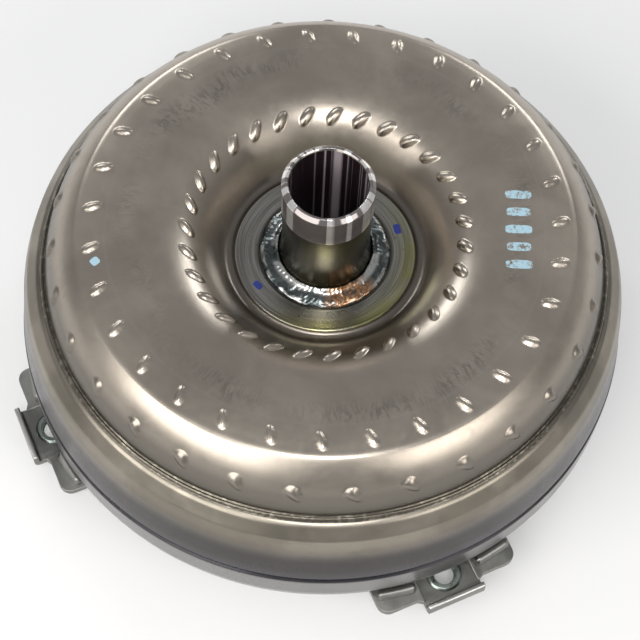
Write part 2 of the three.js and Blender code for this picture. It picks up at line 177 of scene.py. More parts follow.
def lathe(section, columns, shape=None):
    """Points and faces of a ring or disc from its closed section of (radius, height) points.

    shape(radius, height, angle) may move the rows of the grid before they become points.
    """
    section = np.asarray(section, float)
    if area_of(section) < 0:
        section = section[::-1]
    rows = len(section)
    angle = np.arange(columns) * TURN / columns
    radius = np.repeat(section[:, :1], columns, 1)
    height = np.repeat(section[:, 1:], columns, 1)
    if shape:
        radius, height = shape(radius, height, angle[None, :])
    grid = np.stack([radius * np.cos(angle), radius * np.sin(angle), height], -1)
    on_axis = section[:, 0] < 1e-9
    index = np.zeros((rows, columns), int)
    points = []
    for row in range(rows):
        if on_axis[row]:
            index[row] = len(points)
            points.append(grid[row, 0])
        else:
            index[row] = len(points) + np.arange(columns)
            points.extend(grid[row])
    faces = []
    for row in range(rows):
        a, b = index[row], index[(row + 1) % rows]
        if on_axis[row] and on_axis[(row + 1) % rows]:
            continue
        for j in range(columns):
            k = (j + 1) % columns
            corners = (a[j], a[k], b[k], b[j])
            faces.append(tuple(dict.fromkeys(int(c) for c in corners)))
    return points, faces


def rounded(corners, radius=0.4, steps=4, support=0.5):
    """A closed outline with rounded corners. A corner may be (x, y) or (x, y, its own radius).

    A point on each side of every arc keeps flat stretches flat when they are shaded smoothly.
    """
    outline = []
    count = len(corners)
    for i, corner in enumerate(corners):
        here = np.array(corner[:2], float)
        before = np.array(corners[i - 1][:2], float) - here
        after = np.array(corners[(i + 1) % count][:2], float) - here
        own = corner[2] if len(corner) > 2 else radius
        lengths = np.linalg.norm(before), np.linalg.norm(after)
        before, after = before / lengths[0], after / lengths[1]
        turn = math.pi - math.acos(float(np.clip(before @ after, -1, 1)))
        if own <= 0 or turn < 0.02:
            outline.append(here)
            continue
        reach = min(own * math.tan(turn / 2), 0.46 * min(lengths))
        own = reach / math.tan(turn / 2)
        start, end = here + before * reach, here + after * reach
        middle = here + (before + after) / np.linalg.norm(before + after) * math.hypot(own, reach)
        spare = [min(support, 0.3 * (length - reach)) for length in lengths]
        if here[0] > 1e-6 or support:
            outline.append(start + before * spare[0])
        first = start - middle
        last = end - middle
        for k in range(steps + 1):
            share = k / steps
            a, b = math.sin((1 - share) * turn), math.sin(share * turn)
            outline.append(middle + (first * a + last * b) / math.sin(turn))
        outline.append(end + after * spare[1])
    return np.array(outline)


def solid_of_revolution(corners, columns, radius=0.4, shape=None):
    """A lathe body whose corners are rounded, except those on the axis."""
    kept = [(c[0], c[1], 0) if c[0] < 1e-6 else c for c in corners]
    return lathe(rounded(kept, radius), columns, shape)


def through(points, steps=8):
    """A smooth curve through points: a centripetal Catmull-Rom spline."""
    p = np.asarray(points, float)
    p = np.vstack([2 * p[0] - p[1], p, 2 * p[-1] - p[-2]])
    curve = []
    for a, b, c, d in zip(p, p[1:], p[2:], p[3:]):
        t1 = math.sqrt(np.linalg.norm(b - a))
        t2 = t1 + math.sqrt(np.linalg.norm(c - b))
        t3 = t2 + math.sqrt(np.linalg.norm(d - c))
        for t in np.linspace(t1, t2, steps, endpoint=False):
            ab, bc = a + (b - a) * t / t1, b + (c - b) * (t - t1) / (t2 - t1)
            cd = c + (d - c) * (t - t2) / (t3 - t2)
            abc, bcd = ab + (bc - ab) * t / t2, bc + (cd - bc) * (t - t1) / (t3 - t1)
            curve.append(abc + (bcd - abc) * (t - t1) / (t2 - t1))
    curve.append(p[-2])
    return np.array(curve)


def arc(centre, radius, start, end, steps):
    """Points of a round stretch between two angles in degrees."""
    angles = np.radians(np.linspace(start, end, steps))
    return np.stack([centre[0] + radius * np.cos(angles), centre[1] + radius * np.sin(angles)], -1)


def lengths_along(path):
    return np.concatenate([[0], np.cumsum(np.linalg.norm(np.diff(path, axis=0), axis=1))])


def resampled(path, spacing):
    """The path again, with points as far apart as spacing(radius, height) says."""
    along = lengths_along(path)
    at, places = 0.0, [0.0]
    while at < along[-1]:
        r, z = (np.interp(at, along, path[:, k]) for k in (0, 1))
        at += spacing(r, z)
        places.append(min(at, along[-1]))
    if places[-1] - places[-2] < 0.2:
        places.pop(-2)
    return np.stack([np.interp(places, along, path[:, k]) for k in (0, 1)], -1)


def waves(angle, across, seed, count, finest):
    """Smooth, repeatable unevenness from -1 to 1 round the axis and across a bead."""
    draw = np.random.default_rng(seed)
    total = np.zeros(np.broadcast(angle, across).shape)
    for _ in range(count):
        turns = int(draw.integers(3, finest))
        total = total + np.sin(turns * angle + draw.uniform(0, TURN) + across * draw.uniform(-1.5, 1.5))
    return total / math.sqrt(count) / 1.6


def spun(points, angle):
    points = np.asarray(points, float)
    c, s = math.cos(angle), math.sin(angle)
    x, y = points[:, 0] * c - points[:, 1] * s, points[:, 0] * s + points[:, 1] * c
    return np.stack([x, y, points[:, 2]], -1)


def copies(part, count, start=0.0, at=0.0):
    """The same body several times round the axis, moved out by at before it is turned."""
    points = np.asarray(part[0], float) + [at, 0, 0]
    return [(spun(points, start + i * TURN / count), part[1]) for i in range(count)]


def together(parts):
    """Points and faces of several bodies as one list."""
    points, faces = [], []
    for some_points, some_faces in parts:
        start = len(points)
        points.extend(some_points)
        faces.extend(tuple(start + c for c in face) for face in some_faces)
    return points, faces


def outward(points, faces):
    """The body again, with its faces turned over if they point inwards."""
    points = np.asarray(points, float)
    fans = [(face[0], face[i], face[i + 1]) for face in faces for i in range(1, len(face) - 1)]
    a, b, c = points[np.array(fans)].transpose(1, 0, 2)
    if np.sum(a * np.cross(b, c)) < 0:
        faces = [face[::-1] for face in faces]
    return points, faces


def swept(rings):
    """A closed body through rings of points, with a face on each end."""
    rings = np.asarray(rings, float)
    count, sides = rings.shape[:2]
    index = np.arange(count * sides).reshape(count, sides).tolist()
    faces = [tuple(index[0]), tuple(index[-1][::-1])]
    for here, there in zip(index, index[1:]):
        for j in range(sides):
            k = (j + 1) % sides
            faces.append((here[j], there[j], there[k], here[k]))
    return outward(rings.reshape(-1, 3), faces)


def plate(outlines, low, high, bevel=0.35):
    """Points and faces of a flat plate with holes and rounded edges, from closed outlines."""
    curve = bpy.data.curves.new("outline", "CURVE")
    curve.dimensions = "2D"
    curve.fill_mode = "BOTH"
    curve.extrude = (high - low) / 2 - bevel
    curve.bevel_depth = bevel
    curve.bevel_resolution = 2
    curve.offset = -bevel
    for outline in outlines:
        spline = curve.splines.new("POLY")
        spline.points.add(len(outline) - 1)
        for point, (x, y) in zip(spline.points, outline):
            point.co = (x, y, 0, 1)
        spline.use_cyclic_u = True
    holder = bpy.data.objects.new("outline", curve)
    mesh = bpy.data.meshes.new_from_object(holder)
    work = bmesh.new()
    work.from_mesh(mesh)
    bmesh.ops.remove_doubles(work, verts=work.verts, dist=1e-4)
    bmesh.ops.recalc_face_normals(work, faces=work.faces)
    points = [(v.co.x, v.co.y, v.co.z + (low + high) / 2) for v in work.verts]
    faces = [tuple(v.index for v in f.verts) for f in work.faces]
    work.free()
    bpy.data.objects.remove(holder)
    bpy.data.curves.remove(curve)
    bpy.data.meshes.remove(mesh)
    return points, faces


def combined(base, tools, operation="DIFFERENCE"):
    """Points and faces of a body cut by others, or joined with them."""
    body = shown("base", closed_mesh("base", *base, scale=1))
    helpers = []
    for tool in tools:
        helper = shown("tool", closed_mesh("tool", *tool, scale=1))
        helpers.append(helper)
        step = body.modifiers.new("step", "BOOLEAN")
        step.operation = operation
        step.solver = "EXACT"
        step.object = helper
    ready = body.evaluated_get(bpy.context.evaluated_depsgraph_get())
    mesh = bpy.data.meshes.new_from_object(ready)
    points = [tuple(v.co) for v in mesh.vertices]
    faces = [tuple(p.vertices) for p in mesh.polygons]
    for thing in [body, *helpers]:
        bpy.data.objects.remove(thing)
    bpy.data.meshes.remove(mesh)
    return points, faces


# ---------- materials ----------


class Finish:
    """A node material under construction. Its coordinates are the model's own, in metres."""

    def __init__(self, name, metallic=1.0, specular=0.5, coat=0.0, coat_roughness=0.1):
        self.material = bpy.data.materials.new(name)
        self.material.use_nodes = True
        self.tree = self.material.node_tree
        self.shader = self.tree.nodes["Principled BSDF"]
        self.feed(self.shader.inputs, {"Metallic": metallic, "Specular IOR Level": specular,
                                       "Coat Weight": coat, "Coat Roughness": coat_roughness})
        self.place = self.node("ShaderNodeTexCoord").outputs["Object"]
        parts = self.node("ShaderNodeSeparateXYZ", {"Vector": self.place}).outputs
        self.x, self.y, self.z = parts["X"], parts["Y"], parts["Z"]
        flat = self.node("ShaderNodeCombineXYZ", {"X": self.x, "Y": self.y}).outputs[0]
        self.radius = self.node("ShaderNodeVectorMath", {0: flat}, operation="LENGTH").outputs["Value"]
        self.around = self.node("ShaderNodeVectorMath", {0: flat}, operation="NORMALIZE").outputs[0]

    def feed(self, sockets, values):
        """Links the values that come from other nodes, and sets the plain ones."""
        for name, value in values.items():
            if isinstance(value, bpy.types.NodeSocket):
                self.tree.links.new(value, sockets[name])
            elif value is not None:
                sockets[name].default_value = value

    def node(self, kind, inputs=None, **settings):
        made = self.tree.nodes.new(kind)
        for name, value in settings.items():
            setattr(made, name, value)
        self.feed(made.inputs, inputs or {})
        return made

    def math(self, operation, first, *others):
        """One operation on two values or more, from left to right."""
        for other in others:
            first = self.node("ShaderNodeMath", {0: first, 1: other}, operation=operation).outputs[0]
        return first

    def times(self, *values):
        return self.math("MULTIPLY", *values)

    def plus(self, *values):
        return self.math("ADD", *values)

    def minus(self, *values):
        return self.math("SUBTRACT", *values)

    def most(self, *values):
        return self.math("MAXIMUM", *values)

    def step(self, value, low, high, first=0.0, last=1.0):
        """A smooth rise from first to last while value goes from low to high."""
        return self.node("ShaderNodeMapRange", {
            "Value": value, "From Min": low, "From Max": high, "To Min": first, "To Max": last,
        }, interpolation_type="SMOOTHSTEP").outputs[0]

    def band(self, value, low, high, soft):
        """1 between low and high, and 0 outside, with soft edges. All are in metres."""
        rise = self.step(value, low - soft, low + soft)
        fall = self.step(value, high - soft, high + soft, 1.0, 0.0)
        return self.times(rise, fall)

    def noise(self, scale, detail=4.0, roughness=0.55, distortion=0.0, vector=None):
        return self.node("ShaderNodeTexNoise", {
            "Vector": vector or self.place, "Scale": scale, "Detail": detail,
            "Roughness": roughness, "Distortion": distortion,
        }).outputs["Fac"]

    def streaks(self, around, depth, axes, detail=3.0, roughness=0.6, distortion=0.0):
        """Noise with one scale round the axis, and another per metre of radius and height."""
        swung = self.node("ShaderNodeVectorMath", {0: self.around, 1: (around, around, 0)},
                          operation="MULTIPLY").outputs[0]
        level = self.times(self.plus(self.radius, self.z), depth)
        lift = self.node("ShaderNodeCombineXYZ", {axis: level for axis in axes}).outputs[0]
        vector = self.node("ShaderNodeVectorMath", {0: swung, 1: lift}, operation="ADD").outputs[0]
        return self.noise(1.0, detail, roughness, distortion, vector)

    def turned(self, across, along, *texture):
        """Noise drawn out round the axis, like lathe lines."""
        return self.streaks(along, across, "XZ", *texture)

    def radial(self, across, along, *texture):
        """Noise drawn out along the radius and the height."""
        return self.streaks(across, along, "Z", *texture)

    def mix(self, share, a, b):
        first, second = (v if isinstance(v, bpy.types.NodeSocket) else (*v, 1.0) for v in (a, b))
        made = self.node("ShaderNodeMix", data_type="RGBA", clamp_factor=True)
        self.feed(made.inputs, {0: share, 6: first, 7: second})
        return made.outputs[2]

    def layered(self, colour, layers):
        """The colour under layers of (share, strength, tone), the last one on top."""
        for share, strength, tone in layers:
            colour = self.mix(self.times(share, strength), colour, tone)
        return colour

    def wandering(self, scale, reach):
        """The radius, made to wander by half of reach each way, in metres."""
        return self.plus(self.radius, self.times(self.minus(self.noise(scale, 2.0), 0.5), reach))

    def facing(self, degrees, low, high):
        """Rises from 0 to 1 round the axis, towards one side of the part."""
        side = (math.cos(math.radians(degrees)), math.sin(math.radians(degrees)), 0)
        share = self.node("ShaderNodeVectorMath", {0: self.around, 1: side}, operation="DOT_PRODUCT")
        return self.step(share.outputs["Value"], low, high)

    def blot(self, x, y, half_x, half_y, angle=0.0, ragged=0.3):
        """A painted mark on the top: 1 within a rounded patch centred on x, y in millimetres."""
        c, s = math.cos(angle), math.sin(angle)
        dx, dy = self.minus(self.x, x * MM), self.minus(self.y, y * MM)
        u = self.plus(self.times(dx, c / (half_x * MM)), self.times(dy, s / (half_x * MM)))
        v = self.plus(self.times(dx, -s / (half_y * MM)), self.times(dy, c / (half_y * MM)))
        reach = self.plus(self.math("POWER", self.math("ABSOLUTE", u, 0.0), 4.0),
                          self.math("POWER", self.math("ABSOLUTE", v, 0.0), 4.0))
        edge = self.plus(reach, self.times(self.noise(900.0, 3.0), ragged))
        return self.step(edge, 0.95 + ragged / 2, 1.1 + ragged / 2, 1.0, 0.0)

    def bump(self, layers):
        """Layers of (height, strength, distance in millimetres), one on the other."""
        normal = None
        for height, strength, distance in layers:
            normal = self.node("ShaderNodeBump", {
                "Height": height, "Strength": strength, "Distance": distance * MM, "Normal": normal,
            }).outputs[0]
        return normal

    def done(self, colour, roughness, normal=None, metallic=None):
        self.feed(self.shader.inputs, {"Base Color": colour, "Roughness": roughness,
                                       "Normal": normal, "Metallic": metallic})
        return self.material


OLIVE_SIDE = 22                   # the side of the ring with an oil film, in degrees round the axis
BURNT_SIDE = 2                    # the side of the weld with heat colours


def pressed_steel(name, marks=None, band=None):
    """Washed pressed steel: warm grey, with cloudy stains, fine grain, scuffs and a soft sheen."""
    f = Finish(name)
    clouds = f.noise(28.0, 5.0, 0.6, 0.6)
    blotch = f.noise(170.0, 4.0, 0.6, 0.9)
    speck = f.noise(1400.0, 3.0, 0.7)
    strokes = f.turned(520.0, 5.0, 5.0, 0.62, 0.35)
    colour = f.mix(f.step(clouds, 0.3, 0.72), (0.4, 0.354, 0.3), (0.475, 0.423, 0.358))
    colour = f.mix(f.step(blotch, 0.5, 0.74, 0.0, 0.13), colour, (0.25, 0.232, 0.21))
    colour = f.mix(f.step(speck, 0.6, 0.78, 0.0, 0.3), colour, (0.22, 0.2, 0.18))
    rough = f.step(clouds, 0.3, 0.7, 0.29, 0.35)
    rough = f.plus(rough, f.step(blotch, 0.45, 0.75, 0.0, 0.05))
    if band:
        colour, rough = band(f, colour, rough)
    metallic = None
    if marks:
        colour, rough, metallic = marks(f, colour, rough)
    normal = f.bump([(clouds, 0.12, 0.6), (blotch, 0.1, 0.12), (strokes, 0.1, 0.03), (speck, 0.12, 0.02)])
    return f.done(colour, rough, normal, metallic)


def shell_bands(f, colour, rough):
    """The scuffed ring on the shell's crown, the turned ring round the hub, the film near the seam, and
    painted shade in the valley and recess round the hub and on the shoulder's lower wall.
    """
    scuff = f.times(
        f.band(f.wandering(14.0, 0.03), 0.083, 0.0915, 0.0045),
        f.step(f.radial(27.0, 100.0, 5.0, 0.66, 1.8), 0.45, 0.56),
        f.step(f.noise(20.0, 2.0), 0.4, 0.58, 0.15, 1.0),
    )
    witness = f.band(f.wandering(30.0, 0.004), 0.0958, 0.0966, 0.0005)
    # painted shade: darker in the valley at the foot of the recess and down the recess wall round the hub
    painted_valley_shade = f.times(f.band(f.radius, 0.0408, 0.0475, 0.0016), f.step(f.z, 0.098, 0.09))
    painted_recess_shade = f.band(f.radius, 0.046, 0.0565, 0.003)
    ring = f.band(f.radius, 0.0285, 0.0408, 0.0004)
    edge = f.times(ring, f.band(f.radius, 0.0288, 0.0303, 0.0004))
    lines = f.step(f.turned(1500.0, 1.2), 0.35, 0.65)
    grey = f.mix(lines, (0.19, 0.182, 0.165), (0.4, 0.39, 0.36))
    olive = f.mix(lines, (0.26, 0.245, 0.075), (0.4, 0.385, 0.16))
    film = f.times(
        f.facing(OLIVE_SIDE, -0.2, 0.9),
        f.step(f.noise(55.0, 3.0), 0.3, 0.62, 0.4, 1.0),
        f.step(f.radius, 0.0325, 0.0385, 0.15, 0.85),
    )
    # painted shade: the shoulder's lower wall darkens towards the seam
    painted_skirt_shade = f.times(f.step(f.z, 0.106, 0.096), f.step(f.radius, 0.112, 0.116))
    seam = f.times(f.step(f.z, 0.0965, 0.086), f.step(f.radius, 0.118, 0.122))
    colour = f.layered(colour, [
        (scuff, 0.72, (0.16, 0.146, 0.13)), (witness, 0.22, (0.5, 0.47, 0.43)),
        (painted_valley_shade, 0.75, (0.1, 0.088, 0.075)), (painted_recess_shade, 0.45, (0.24, 0.215, 0.19)),
        (ring, 1.0, f.mix(film, grey, olive)), (edge, 0.8, (0.03, 0.033, 0.033)),
        (painted_skirt_shade, 0.82, (0.13, 0.12, 0.106)), (seam, 0.6, (0.12, 0.112, 0.088)),
    ])
    return colour, f.plus(rough, f.times(scuff, 0.12), f.times(ring, -0.08))


DASHES = 5
FIRST_DASH, LAST_DASH = np.array([51.0, 68.4]), np.array([19.2, 84.0])
PALE_PAINT, DARK_PAINT = (0.34, 0.55, 0.66), (0.02, 0.035, 0.2)


def shell_marks(f, colour, rough):
    """Paint: a pale blue dot and five plain dashes on the crown, and two dark blue marks on the ring."""
    on_top = f.step(f.z, 0.100, 0.104)
    pale = 0.0
    row = LAST_DASH - FIRST_DASH
    along = math.atan2(row[1], row[0])
    for k in range(DASHES):
        x, y = FIRST_DASH + row * k / (DASHES - 1)
        dash = f.blot(x, y, 2.1, 5.2 if k % 2 else 5.8, along, 0.7)
        pale = f.most(pale, dash)
    worn = f.step(f.noise(420.0, 5.0, 0.7), 0.36, 0.52)
    pale = f.times(pale, on_top, worn)
    pale = f.most(pale, f.times(f.blot(-21.9, -99.0, 1.9, 1.9, 0.3, 0.2), on_top))
    dark = f.most(f.blot(4.5, -34.5, 2.3, 1.5, 0.35), f.blot(2.3, 34.6, 2.6, 1.6, -0.2))
    dark = f.times(dark, f.step(f.z, 0.094, 0.092))
    colour = f.layered(colour, [(pale, 0.86, PALE_PAINT), (dark, 1.0, DARK_PAINT)])
    paint = f.most(pale, dark)
    rough = f.plus(rough, f.times(paint, 0.2))
    metallic = f.minus(1.0, f.times(paint, 0.85))
    return colour, rough, metallic


def cover_bands(f, colour, rough):
    """The cover's oil film, and darker, cooler painted shade down its wall to the rolled groove and the
    foot.
    """
    # painted shade: very dark down the wall under the shoulder, a little lighter above the groove, darkest
    # in the groove line, and lighter again on the foot
    wall = f.step(f.z, 0.0765, 0.0615)
    colour = f.layered(colour, [
        (f.step(f.noise(36.0, 3.0), 0.36, 0.6, 0.65, 1.0), 0.8, (0.17, 0.156, 0.126)),
        (wall, 0.93, (0.052, 0.047, 0.049)),
        (f.step(f.z, 0.056, 0.0485), 0.75, (0.1, 0.098, 0.102)),
        (f.band(f.z, 0.0458, 0.0476, 0.0007), 0.75, (0.03, 0.035, 0.05)),
        (f.step(f.z, 0.0455, 0.043), 0.8, (0.29, 0.285, 0.28)),
    ])
    return colour, f.minus(rough, f.times(wall, 0.03))


def seam_tone(f, colour, rough):
    """Dark, oily steel with a bright spot here and there."""
    dark = f.mix(f.step(f.noise(300.0, 3.0), 0.5, 0.66), (0.07, 0.064, 0.05), (0.2, 0.187, 0.15))
    return f.mix(0.85, colour, dark), rough


def hub_steel():
    """The pump hub: a ground journal with painted reflection bands and a painted shadow line at its foot, a
    turned neck with an oil film, and a bore in painted shade with streaks of painted highlight.
    """
    f = Finish("ground_hub_steel")
    journal = f.times(f.step(f.radius, 0.0193, 0.0197), f.step(f.z, 0.1275, 0.1287))
    rim = f.times(f.step(f.radius, 0.0169, 0.0172), f.step(f.z, 0.1425, 0.143))
    journal = f.most(journal, rim)
    bore = f.times(f.step(f.radius, 0.01705, 0.01675), f.step(f.z, 0.1452, 0.1446))
    fine = f.turned(4200.0, 3.0)
    lathe_lines = f.turned(1300.0, 1.5)
    # streaks of painted highlight for the bore
    streaks = f.radial(5.5, 1.0)
    film = f.step(f.noise(60.0, 3.0), 0.38, 0.68)
    neck = f.mix(film, (0.15, 0.14, 0.115), (0.115, 0.107, 0.07))
    ground = f.mix(f.step(fine, 0.3, 0.7), (0.74, 0.71, 0.69), (0.9, 0.87, 0.85))
    # painted reflections: dark vertical bands down the bright journal
    painted_reflection_bands = f.radial(3.2, 0.3, 2.0, 0.5)
    ground = f.mix(f.step(painted_reflection_bands, 0.47, 0.52, 0.0, 0.85), ground, (0.13, 0.11, 0.108))
    colour = f.mix(journal, neck, ground)
    # painted shadow: a dark line where the neck steps out to the journal
    painted_shadow_line = f.band(f.z, 0.1272, 0.1284, 0.0003)
    colour = f.mix(f.times(painted_shadow_line, 0.8), colour, (0.02, 0.018, 0.016))
    # painted shade inside the bore, with lighter streaks of painted highlight down its wall
    inside = f.mix(f.step(streaks, 0.47, 0.62), (0.02, 0.012, 0.015), (0.42, 0.36, 0.38))
    colour = f.mix(bore, colour, inside)
    rough = f.step(journal, 0.0, 1.0, 0.22, 0.07)
    rough = f.plus(rough, f.times(film, 0.04))
    dull = f.plus(f.times(bore, 0.7), f.times(journal, 0.22))
    metallic = f.minus(1.0, dull)
    normal = f.bump([(lathe_lines, 0.16, 0.03), (fine, 0.06, 0.01)])
    return f.done(colour, rough, normal, metallic)


def weld_steel(name):
    """A shiny weld bead: dark glassy slag, bright metal at its edges, and heat colours on one side."""
    f = Finish(name, coat=0.2, coat_roughness=0.08)
    mottle = f.noise(150.0, 4.0, 0.6, 1.0)
    fine = f.noise(800.0, 4.0, 0.7)
    inner = f.band(f.radius, 0.0212, 0.0243, 0.0009)
    outer = f.band(f.radius, 0.0274, 0.0290, 0.0004)
    bare = f.most(f.times(inner, f.step(f.noise(75.0, 2.0), 0.49, 0.55)),
                  f.times(outer, f.step(f.noise(160.0, 3.0), 0.46, 0.54)))
    slag = f.mix(f.step(mottle, 0.42, 0.66), (0.06, 0.07, 0.07), (0.17, 0.19, 0.19))
    colour = f.mix(bare, slag, (0.5, 0.5, 0.48))
    burnt = f.mix(f.step(fine, 0.35, 0.65), (0.3, 0.12, 0.04), (0.6, 0.36, 0.2))
    heat = f.times(f.facing(BURNT_SIDE, 0.86, 0.97), f.step(mottle, 0.42, 0.55, 0.2, 0.9))
    colour = f.mix(heat, colour, burnt)
    rough = f.step(mottle, 0.3, 0.7, 0.3, 0.2)
    return f.done(colour, rough, f.bump([(mottle, 0.22, 0.35), (fine, 0.08, 0.04)]))


def bracket_steel():
    """The drive lugs: grey phosphated strip, rubbed bright along the lip's top edge, with a painted
    highlight there.
    """
    f = Finish("bracket_steel")
    clouds = f.noise(60.0, 4.0, 0.6, 0.5)
    grain = f.noise(900.0, 4.0, 0.7)
    colour = f.mix(f.step(clouds, 0.34, 0.68), (0.2, 0.198, 0.185), (0.285, 0.285, 0.268))
    colour = f.mix(f.step(grain, 0.56, 0.75, 0.0, 0.35), colour, (0.14, 0.138, 0.13))
    # rubbed and painted bright: wear along the lip's top edge, with a painted highlight
    top = (LIP_TOP - 0.9) * MM
    rubbed_edge_and_highlight = f.times(f.step(f.z, top, top + 0.5 * MM), f.step(clouds, 0.2, 0.55, 0.55, 1.0))
    lip = (LUG_REACH - 3.2) * MM
    rubbed_edge_and_highlight = f.times(rubbed_edge_and_highlight, f.step(f.radius, lip, lip + 0.8 * MM, 0.15, 1.0))
    colour = f.mix(rubbed_edge_and_highlight, colour, (0.6, 0.585, 0.56))
    rough = f.minus(f.step(clouds, 0.3, 0.7, 0.36, 0.5), f.times(rubbed_edge_and_highlight, 0.14))
    normal = f.bump([(clouds, 0.15, 0.3), (grain, 0.22, 0.04)])
    return f.done(colour, rough, normal)


def plated_steel():
    """The weld nuts: greenish-grey plated steel, with a lighter speckle all over as painted glints on the
    thread.
    """
    f = Finish("plated_steel")
    clouds = f.noise(150.0, 4.0, 0.6, 0.6)
    grain = f.noise(1500.0, 3.0, 0.7)
    colour = f.mix(f.step(clouds, 0.35, 0.65), (0.23, 0.265, 0.245), (0.36, 0.41, 0.385))
    # painted glints: a lighter speckle all over the nut
    colour = f.mix(f.step(grain, 0.55, 0.75, 0.0, 0.4), colour, (0.5, 0.54, 0.51))
    rough = f.step(clouds, 0.3, 0.7, 0.24, 0.38)
    return f.done(colour, rough, f.bump([(clouds, 0.12, 0.15), (grain, 0.2, 0.03)]))


SHELL_STEEL = pressed_steel("pressed_shell_steel", shell_marks, shell_bands)
COVER_STEEL = pressed_steel("pressed_cover_steel", None, cover_bands)
HUB_STEEL = hub_steel()
HUB_WELD = weld_steel("hub_weld_steel")
SEAM_WELD = pressed_steel("seam_weld_steel", None, seam_tone)
BRACKET_STEEL = bracket_steel()
PLATED_STEEL = plated_steel()


# ---------- impeller shell ----------

# Three rings of embossed tabs: where each lies on the profile, its first angle, and its shape. The lean
# turns a tab's outer end from the radial line, anticlockwise from above. The taper narrows that end.
TABS = [
    {"r": 61.1, "phase": 1.81, "long": 9.8, "wide": 4.5, "high": 1.6, "lean": -40, "taper": 0.15},
    {"r": 102.5, "phase": -1.92, "long": 9.0, "wide": 3.9, "high": 1.2, "lean": 20, "taper": -0.15},
    {"r": 121.4, "phase": 4.85, "long": 9.4, "wide": 5.0, "high": 1.35, "lean": 35, "taper": 0.75},
]


def shell_outside():
    """The shell's outer profile, from the hub to where it enters the cover."""
    ring = [[SHELL_BORE_R, RING_Z], [38.9, RING_Z]]
    step = through([[39.3, RING_Z + 0.02], [39.9, RING_Z + 0.12], [40.5, RING_Z - 0.1],
                    [41.2, RING_Z - 0.9],
                    [42.4, RING_Z - 1.45], [44.3, RING_Z - 1.2], [46.6, 90.4], [50.2, 95.6], [54.6, 101.2],
                    [61.1, 106.9], [69.0, 110.6], [77.0, 112.25], [86.0, SHELL_TOP], [96.0, 112.66],
                    [103.0, 112.2], [107.2, 111.68]], 12)
    edge = [[108.1, 111.54], [108.9, 111.36], [109.5, 111.13]]
    shoulder = arc(SHOULDER_CENTRE, SHOULDER_R, 55.3, 7.8, 40)
    rim = [[SEAM_R, SHELL_RIM_LOW]]
    return np.vstack([ring, step, edge, shoulder, rim])


def shell_spacing(r, z):
    """Fine rows where tabs are embossed, wider ones elsewhere."""
    fine = [(56.6, 65.8), (97.6, 107.4)]
    if any(low < r < high for low, high in fine) or (z < 105.5 and 92.5 < z and r > 118):
        return 0.55
    if r < 47 and r > 37.5 or 107.3 < r < 110:
        return 0.4
    return 1.6


def embossed(radius, height, angle, along, path):
    """How far the tabs stand out of the shell at each point of the grid."""
    lift = np.zeros(np.broadcast(radius, angle).shape)
    for tab in TABS:
        rises = path[:, 0] >= 30
        here = np.interp(tab["r"], path[rises, 0], along[rises])
        step = TURN / BLADES
        off = (angle - math.radians(tab["phase"]) + step / 2) % step - step / 2
        out, side = along[:, None] - here, off * tab["r"]
        lean = math.radians(tab["lean"])
        u = (out * math.cos(lean) + side * math.sin(lean)) / (tab["long"] / 2)
        v = (-out * math.sin(lean) + side * math.cos(lean)) / (tab["wide"] / 2)
        v = v / np.clip(1 - tab["taper"] * u, 0.25, 2)
        reach = np.clip(1 - np.abs(u) ** 2.4 - np.abs(v) ** 2.0, 0, 1)
        lift = np.maximum(lift, tab["high"] * reach ** 0.75)
    return lift


def impeller_shell():
    path = resampled(shell_outside(), shell_spacing)
    along = lengths_along(path)
    shoulder = arc(SHOULDER_CENTRE, SHOULDER_R - SHELL_SHEET, 8.8, 55.0, 10)
    inside = through([[104.0, 108.2], [84.0, 108.8], [72.0, 107.3], [61.5, 102.2], [52.5, 91.5],
                      [47.4, RECESS_UNDERSIDE]], 3)
    inside = np.vstack([[[SEAM_R - SHELL_SHEET, SHELL_RIM_LOW]], shoulder, inside,
                        [[SHELL_BORE_R, RECESS_UNDERSIDE]]])
    section = np.vstack([path, inside])
    tangent = np.gradient(path, axis=0)
    tangent /= np.linalg.norm(tangent, axis=1)[:, None]
    normal = np.stack([-tangent[:, 1], tangent[:, 0]], -1)

    def shape(radius, height, angle):
        # lathe() may reverse the section, so the outer rows are found again from either end
        outer = np.arange(len(path))
        if abs(radius[0, 0] - section[0, 0]) > 1e-9 or abs(height[0, 0] - section[0, 1]) > 1e-9:
            outer = len(section) - 1 - outer
        lift = embossed(radius[outer], height[outer], angle, along, path)
        sag = 0.05 * waves(angle, along[:, None] / 30, 5, 5, 9)
        lift = lift + np.where((path[:, 0] > 46) & (path[:, 0] < 122), 1, 0)[:, None] * sag
        radius[outer] += lift * normal[:, :1]
        height[outer] += lift * normal[:, 1:]
        return radius, np.minimum(height, SHELL_TOP + 1.2)

    return lathe(section, BLADES * 26, shape)


# ---------- front cover, hub and welds ----------

